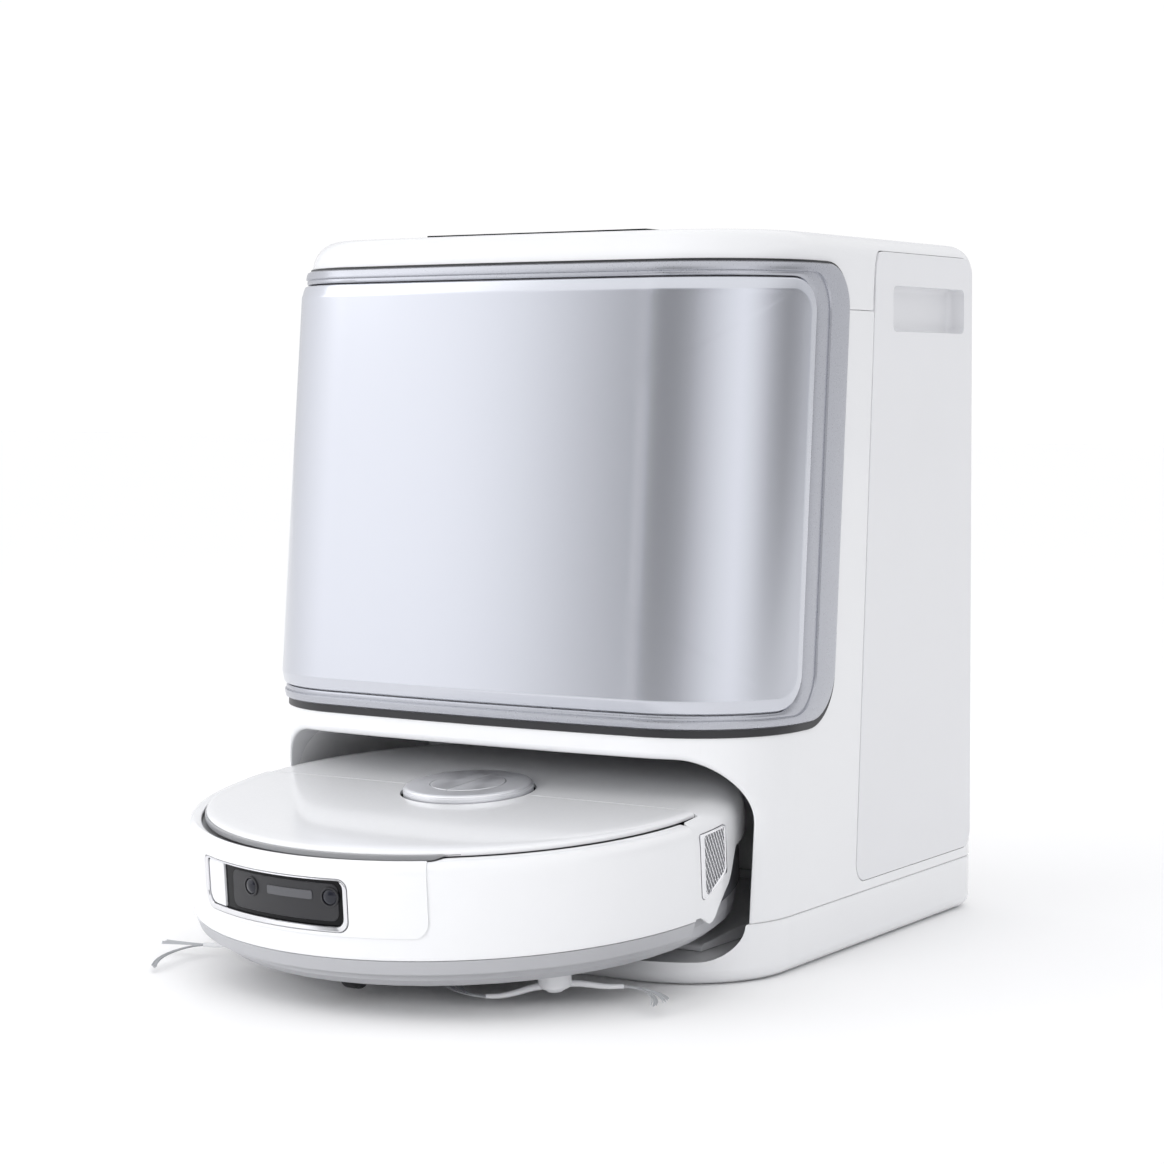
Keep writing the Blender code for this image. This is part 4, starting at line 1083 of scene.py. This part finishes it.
def wheels():
    for side, name in SIDES:
        rings = []
        for x, r in ((-0.0110, 0.0300), (-0.0108, 0.0318), (-0.0095, 0.0332), (-0.0078, WHEEL_R),
                     (-0.0016, WHEEL_R), (0.0016, WHEEL_R), (0.0078, WHEEL_R), (0.0095, 0.0332),
                     (0.0108, 0.0318), (0.0110, 0.0300)):
            ring = []
            slant = 0.70 * abs(x) / 0.011
            for k in range(TREADS):
                for part, deep in ((0.0, 0.0), (0.16, 1.0), (0.40, 1.0), (0.56, 0.0), (0.78, 0.0)):
                    a = 2 * math.pi * (k + part + slant) / TREADS
                    cut = 0.0018 * deep * (1.0 if abs(x) < 0.0095 else 0.5)
                    ring.append((side * WHEEL_X + x, ROBOT_Y + (r - cut) * math.cos(a),
                                 WHEEL_Z + (r - cut) * math.sin(a)))
            rings.append(ring)
        tyre = loft("tyre_" + name, rings, RUBBER, GEAR, 30.0)
        wear(tyre, "wheel_" + name, "rubber", "drive_wheel_" + name)
        hub = disc("wheel_hub_" + name, 0.0180, (side * (WHEEL_X + 0.0112), ROBOT_Y, WHEEL_Z),
                   0.0016, GREY, axis='X', edge=0.0005, place=GEAR)
        wear(hub, "wheel_" + name, "grey")
        mop = disc("mop_cloth_" + name, MOP_R - 0.0005, (side * MOP_X, MOP_Y, MOP_Z + 0.0034),
                   0.0066, CLOTH, edge=0.0022, place=GEAR, steps=96)
        wear(mop, "mop_" + name, "fabric", "mop_pad_" + name)
        plate = disc("mop_disc_" + name, 0.049, (side * MOP_X, MOP_Y, MOP_Z + 0.0091), 0.004, DARK_AND_GAP_SHADE,
                     edge=0.0010, place=GEAR)
        wear(plate, "mop_drive_" + name, "dark", "mop_plate_" + name)
    fork = disc("fork_body", 0.0168, (0, CASTER_Y, 0.0235), 0.014, DARK_AND_GAP_SHADE, edge=0.0015)
    carve(fork, [block("slot", (-0.0068, CASTER_Y - 0.0090, 0.0), (0.0068, CASTER_Y + 0.0130, 0.0275),
                       radius=0.001)])
    fork.data.transform(GEAR)
    wear(fork, "caster_fork", "dark", "caster_fork")
    ball = disc("caster_tyre", CASTER_R, (0, CASTER_Y + 0.0020, FOOT_Z + CASTER_R), 0.012, RUBBER,
                axis='X', edge=0.0025, place=GEAR, steps=48)
    wear(ball, "caster_wheel", "rubber", "caster_wheel")

    rings = []
    for i in range(49):
        x = ROLLER_HALF * (i / 24 - 1)
        turn = 0.9 * x / ROLLER_HALF
        ring = []
        for k in range(FLUTES):
            for part, r in ((0.0, ROLLER_R), (0.07, ROLLER_R), (0.18, 0.0125), (0.5, 0.0118),
                            (0.82, 0.0125), (0.93, ROLLER_R)):
                a = 2 * math.pi * (k + part) / FLUTES + turn
                ring.append((x, ROLLER_Y + r * math.cos(a), ROLLER_Z + r * math.sin(a)))
        rings.append(ring)
    roller = loft("brush_roller", rings, RUBBER, GEAR, 40.0)
    wear(roller, "main_brush", "rubber", "main_brush")


def side_brushes():
    """Two arms to a brush, each a stem and a tip split in two that bends towards two headings."""
    root, stem_end, sweep = 0.008, 0.041, 6.0
    for side, name, first, bends in ((-1, "left", 180.0, (7.0, 56.0)),
                                     (1, "right", 45.0, (35.0, 44.0))):
        x = side * BRUSH_X
        strands, stems = [], []
        for arm in range(2):
            heading = first + 180.0 * arm
            path = []
            for k in range(9):
                t = k / 8
                r, a = root + (stem_end - root) * t, math.radians(heading - side * sweep * t * t)
                path.append((x + r * math.cos(a), BRUSH_Y + r * math.sin(a),
                             0.0105 - 0.0040 * smooth(0.0, 0.8, t)))
            stems.append(tube("stem", path, 0.0021, SATIN, GEAR, lambda t: 1.0 - 0.35 * t, 10))
            for k in range(2 * STRANDS):
                tip, fan = k // STRANDS, (k % STRANDS) / (STRANDS - 1) - 0.5
                final = bends[tip] + 6.0 * fan + RNG.uniform(-0.7, 0.7)
                reach = (0.0715, 0.0690)[tip] - RNG.uniform(0.0, 0.0025)
                lift = RNG.uniform(-0.0004, 0.0006)
                path = []
                for j in range(11):
                    t = j / 10
                    r = stem_end + (reach - stem_end) * t
                    a = math.radians(heading - side * (sweep + (final - sweep) * t ** 1.3))
                    path.append((x + r * math.cos(a) - 0.0022 * fan * (1.0 - t) * math.sin(a),
                                 BRUSH_Y + r * math.sin(a) + 0.0022 * fan * (1.0 - t) * math.cos(a),
                                 0.0064 + lift * t))
                strands.append(tube("strand", path, 0.00055, BRISTLE, GEAR,
                                    lambda t: 1.0 - 0.45 * t, 5))
        hub = disc("hub", 0.0100, (x, BRUSH_Y, 0.0148), 0.0116, SATIN, edge=0.0025, place=GEAR)
        cap = disc("hub_cap", 0.0052, (x, BRUSH_Y, 0.0084), 0.0030, SATIN, edge=0.0008, place=GEAR)
        body = merge("brush_stems_" + name, stems, SATIN)
        wear(body, "side_brush_" + name, "soft_white")
        wear(merge("brush_hub_" + name, [hub, cap], SATIN), "side_brush_" + name, "soft_white")
        tips = merge("brush_bristles_" + name, strands, BRISTLE)
        wear(tips, "side_brush_" + name, "bristle", "side_brush_" + name)


def carried_over():
    """Gives the CAD nodes that no piece stands for a surface of their own."""
    looks = {"chassis": SKIRT, "brush_cover": GREY, "dust_bin": TANK, "suction_fan": DARK_AND_GAP_SHADE,
             "battery": BATTERY, "lidar": DARK_AND_GAP_SHADE, "suspension_arm_left": DARK_AND_GAP_SHADE,
             "suspension_arm_right": DARK_AND_GAP_SHADE}
    for name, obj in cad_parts.items():
        if name in looks:
            obj.data.materials.clear()
            obj.data.materials.append(looks[name])


# Camera, floor and light

def camera():
    """The camera as it was solved from the photograph."""
    data = bpy.data.cameras.new("camera")
    data.lens, data.sensor_width, data.sensor_fit = 85.95, 36.0, 'HORIZONTAL'
    data.clip_start, data.clip_end = 0.05, 50.0
    made = placed("camera", data)
    made.location = (0.990, -1.609, 0.3666)
    made.rotation_euler = (math.radians(85.9), 0.0, math.radians(32.3))
    bpy.context.scene.camera = made


def floor():
    bm = bmesh.new()
    bmesh.ops.create_grid(bm, x_segments=2, y_segments=2, size=14.0)
    raw("floor", bm, PALE)


def softbox(name, azimuth, height, distance, size, power, tall=None, aim=(0.0, -0.06, 0.20)):
    """An area light at an azimuth in degrees from the front, positive to the right."""
    data = bpy.data.lights.new(name, 'AREA')
    data.shape, data.size, data.size_y = 'RECTANGLE', size, tall or size
    data.energy = power
    a = math.radians(azimuth)
    spot = Vector((math.sin(a) * distance, -math.cos(a) * distance, height))
    made = placed(name, data)
    made.location = spot
    made.rotation_euler = (Vector(aim) - spot).to_track_quat('-Z', 'Y').to_euler()
    return made


GLOW = 1.5                                  # strength of the sky; the ramp holds shares of it
ZENITH, BACKDROP = (0.75, 0.75, 0.755, 1.0), (0.68, 0.68, 0.68, 1.0)
# Azimuth in degrees and brightness near the horizon
SKY = ((-180, 0.80), (-125, 0.80), (-78, 1.20), (-52, 1.42), (-37, 1.42), (-31, 1.20), (-26, 0.62),
       (-21, 0.34), (-12, 0.28), (0, 0.32), (12, 0.44), (25, 0.72), (40, 1.02), (60, 1.28),
       (74, 1.02), (90, 0.52), (103, 0.32), (118, 0.46), (135, 0.80), (160, 0.80), (180, 0.80))


def light():
    """A studio all round: its brightness follows the azimuth low down, and is even overhead."""
    bpy.context.scene.view_settings.view_transform = 'Standard'
    world = bpy.data.worlds.new("studio")
    bpy.context.scene.world = world
    world.use_nodes = True
    tree = world.node_tree
    place = node(tree, "ShaderNodeTexCoord", {}).outputs["Generated"]
    parts = node(tree, "ShaderNodeSeparateXYZ", {0: place}).outputs
    turn = number(tree, 'ARCTAN2', parts["X"], number(tree, 'MULTIPLY', parts["Y"], -1.0))
    share = number(tree, 'MULTIPLY_ADD', turn, 0.5 / math.pi, 0.5)
    ramp = node(tree, "ShaderNodeValToRGB", {"Fac": share})
    stops = ramp.color_ramp.elements
    while len(stops) > 1:
        stops.remove(stops[-1])
    for k, (degrees, bright) in enumerate(SKY):
        stop = stops[0] if k == 0 else stops.new(degrees / 360 + 0.5)
        stop.position = degrees / 360 + 0.5
        level = bright / GLOW
        stop.color = (level * 0.985, level * 0.99, min(1.0, level * 1.015), 1.0)
    rise = node(tree, "ShaderNodeMapRange",
                {"Value": parts["Z"], "From Min": 0.30, "From Max": 0.62},
                interpolation_type='SMOOTHSTEP').outputs["Result"]
    sky = blend(tree, rise, ramp.outputs["Color"], ZENITH)
    seen = node(tree, "ShaderNodeLightPath", {}).outputs["Is Camera Ray"]
    feed(tree, tree.nodes["Background"], {
        "Color": blend(tree, seen, sky, BACKDROP), "Strength": GLOW})
    softbox("key", -58.0, 1.5, 2.2, 1.4, 5.0, 1.4)
    fill = softbox("fill", -12.0, 0.62, 1.9, 1.0, 0.8, 0.5, aim=(0.02, -0.05, 0.10))
    fill.visible_glossy = False
    fill.data.spread = math.radians(40.0)


def main():
    for make in (base, shell, top_lid, door, works, rear_shell, front_lid, bumper_skin,
                 camera_module, turret, wheels, side_brushes, carried_over, camera, floor, light):
        make()


main()
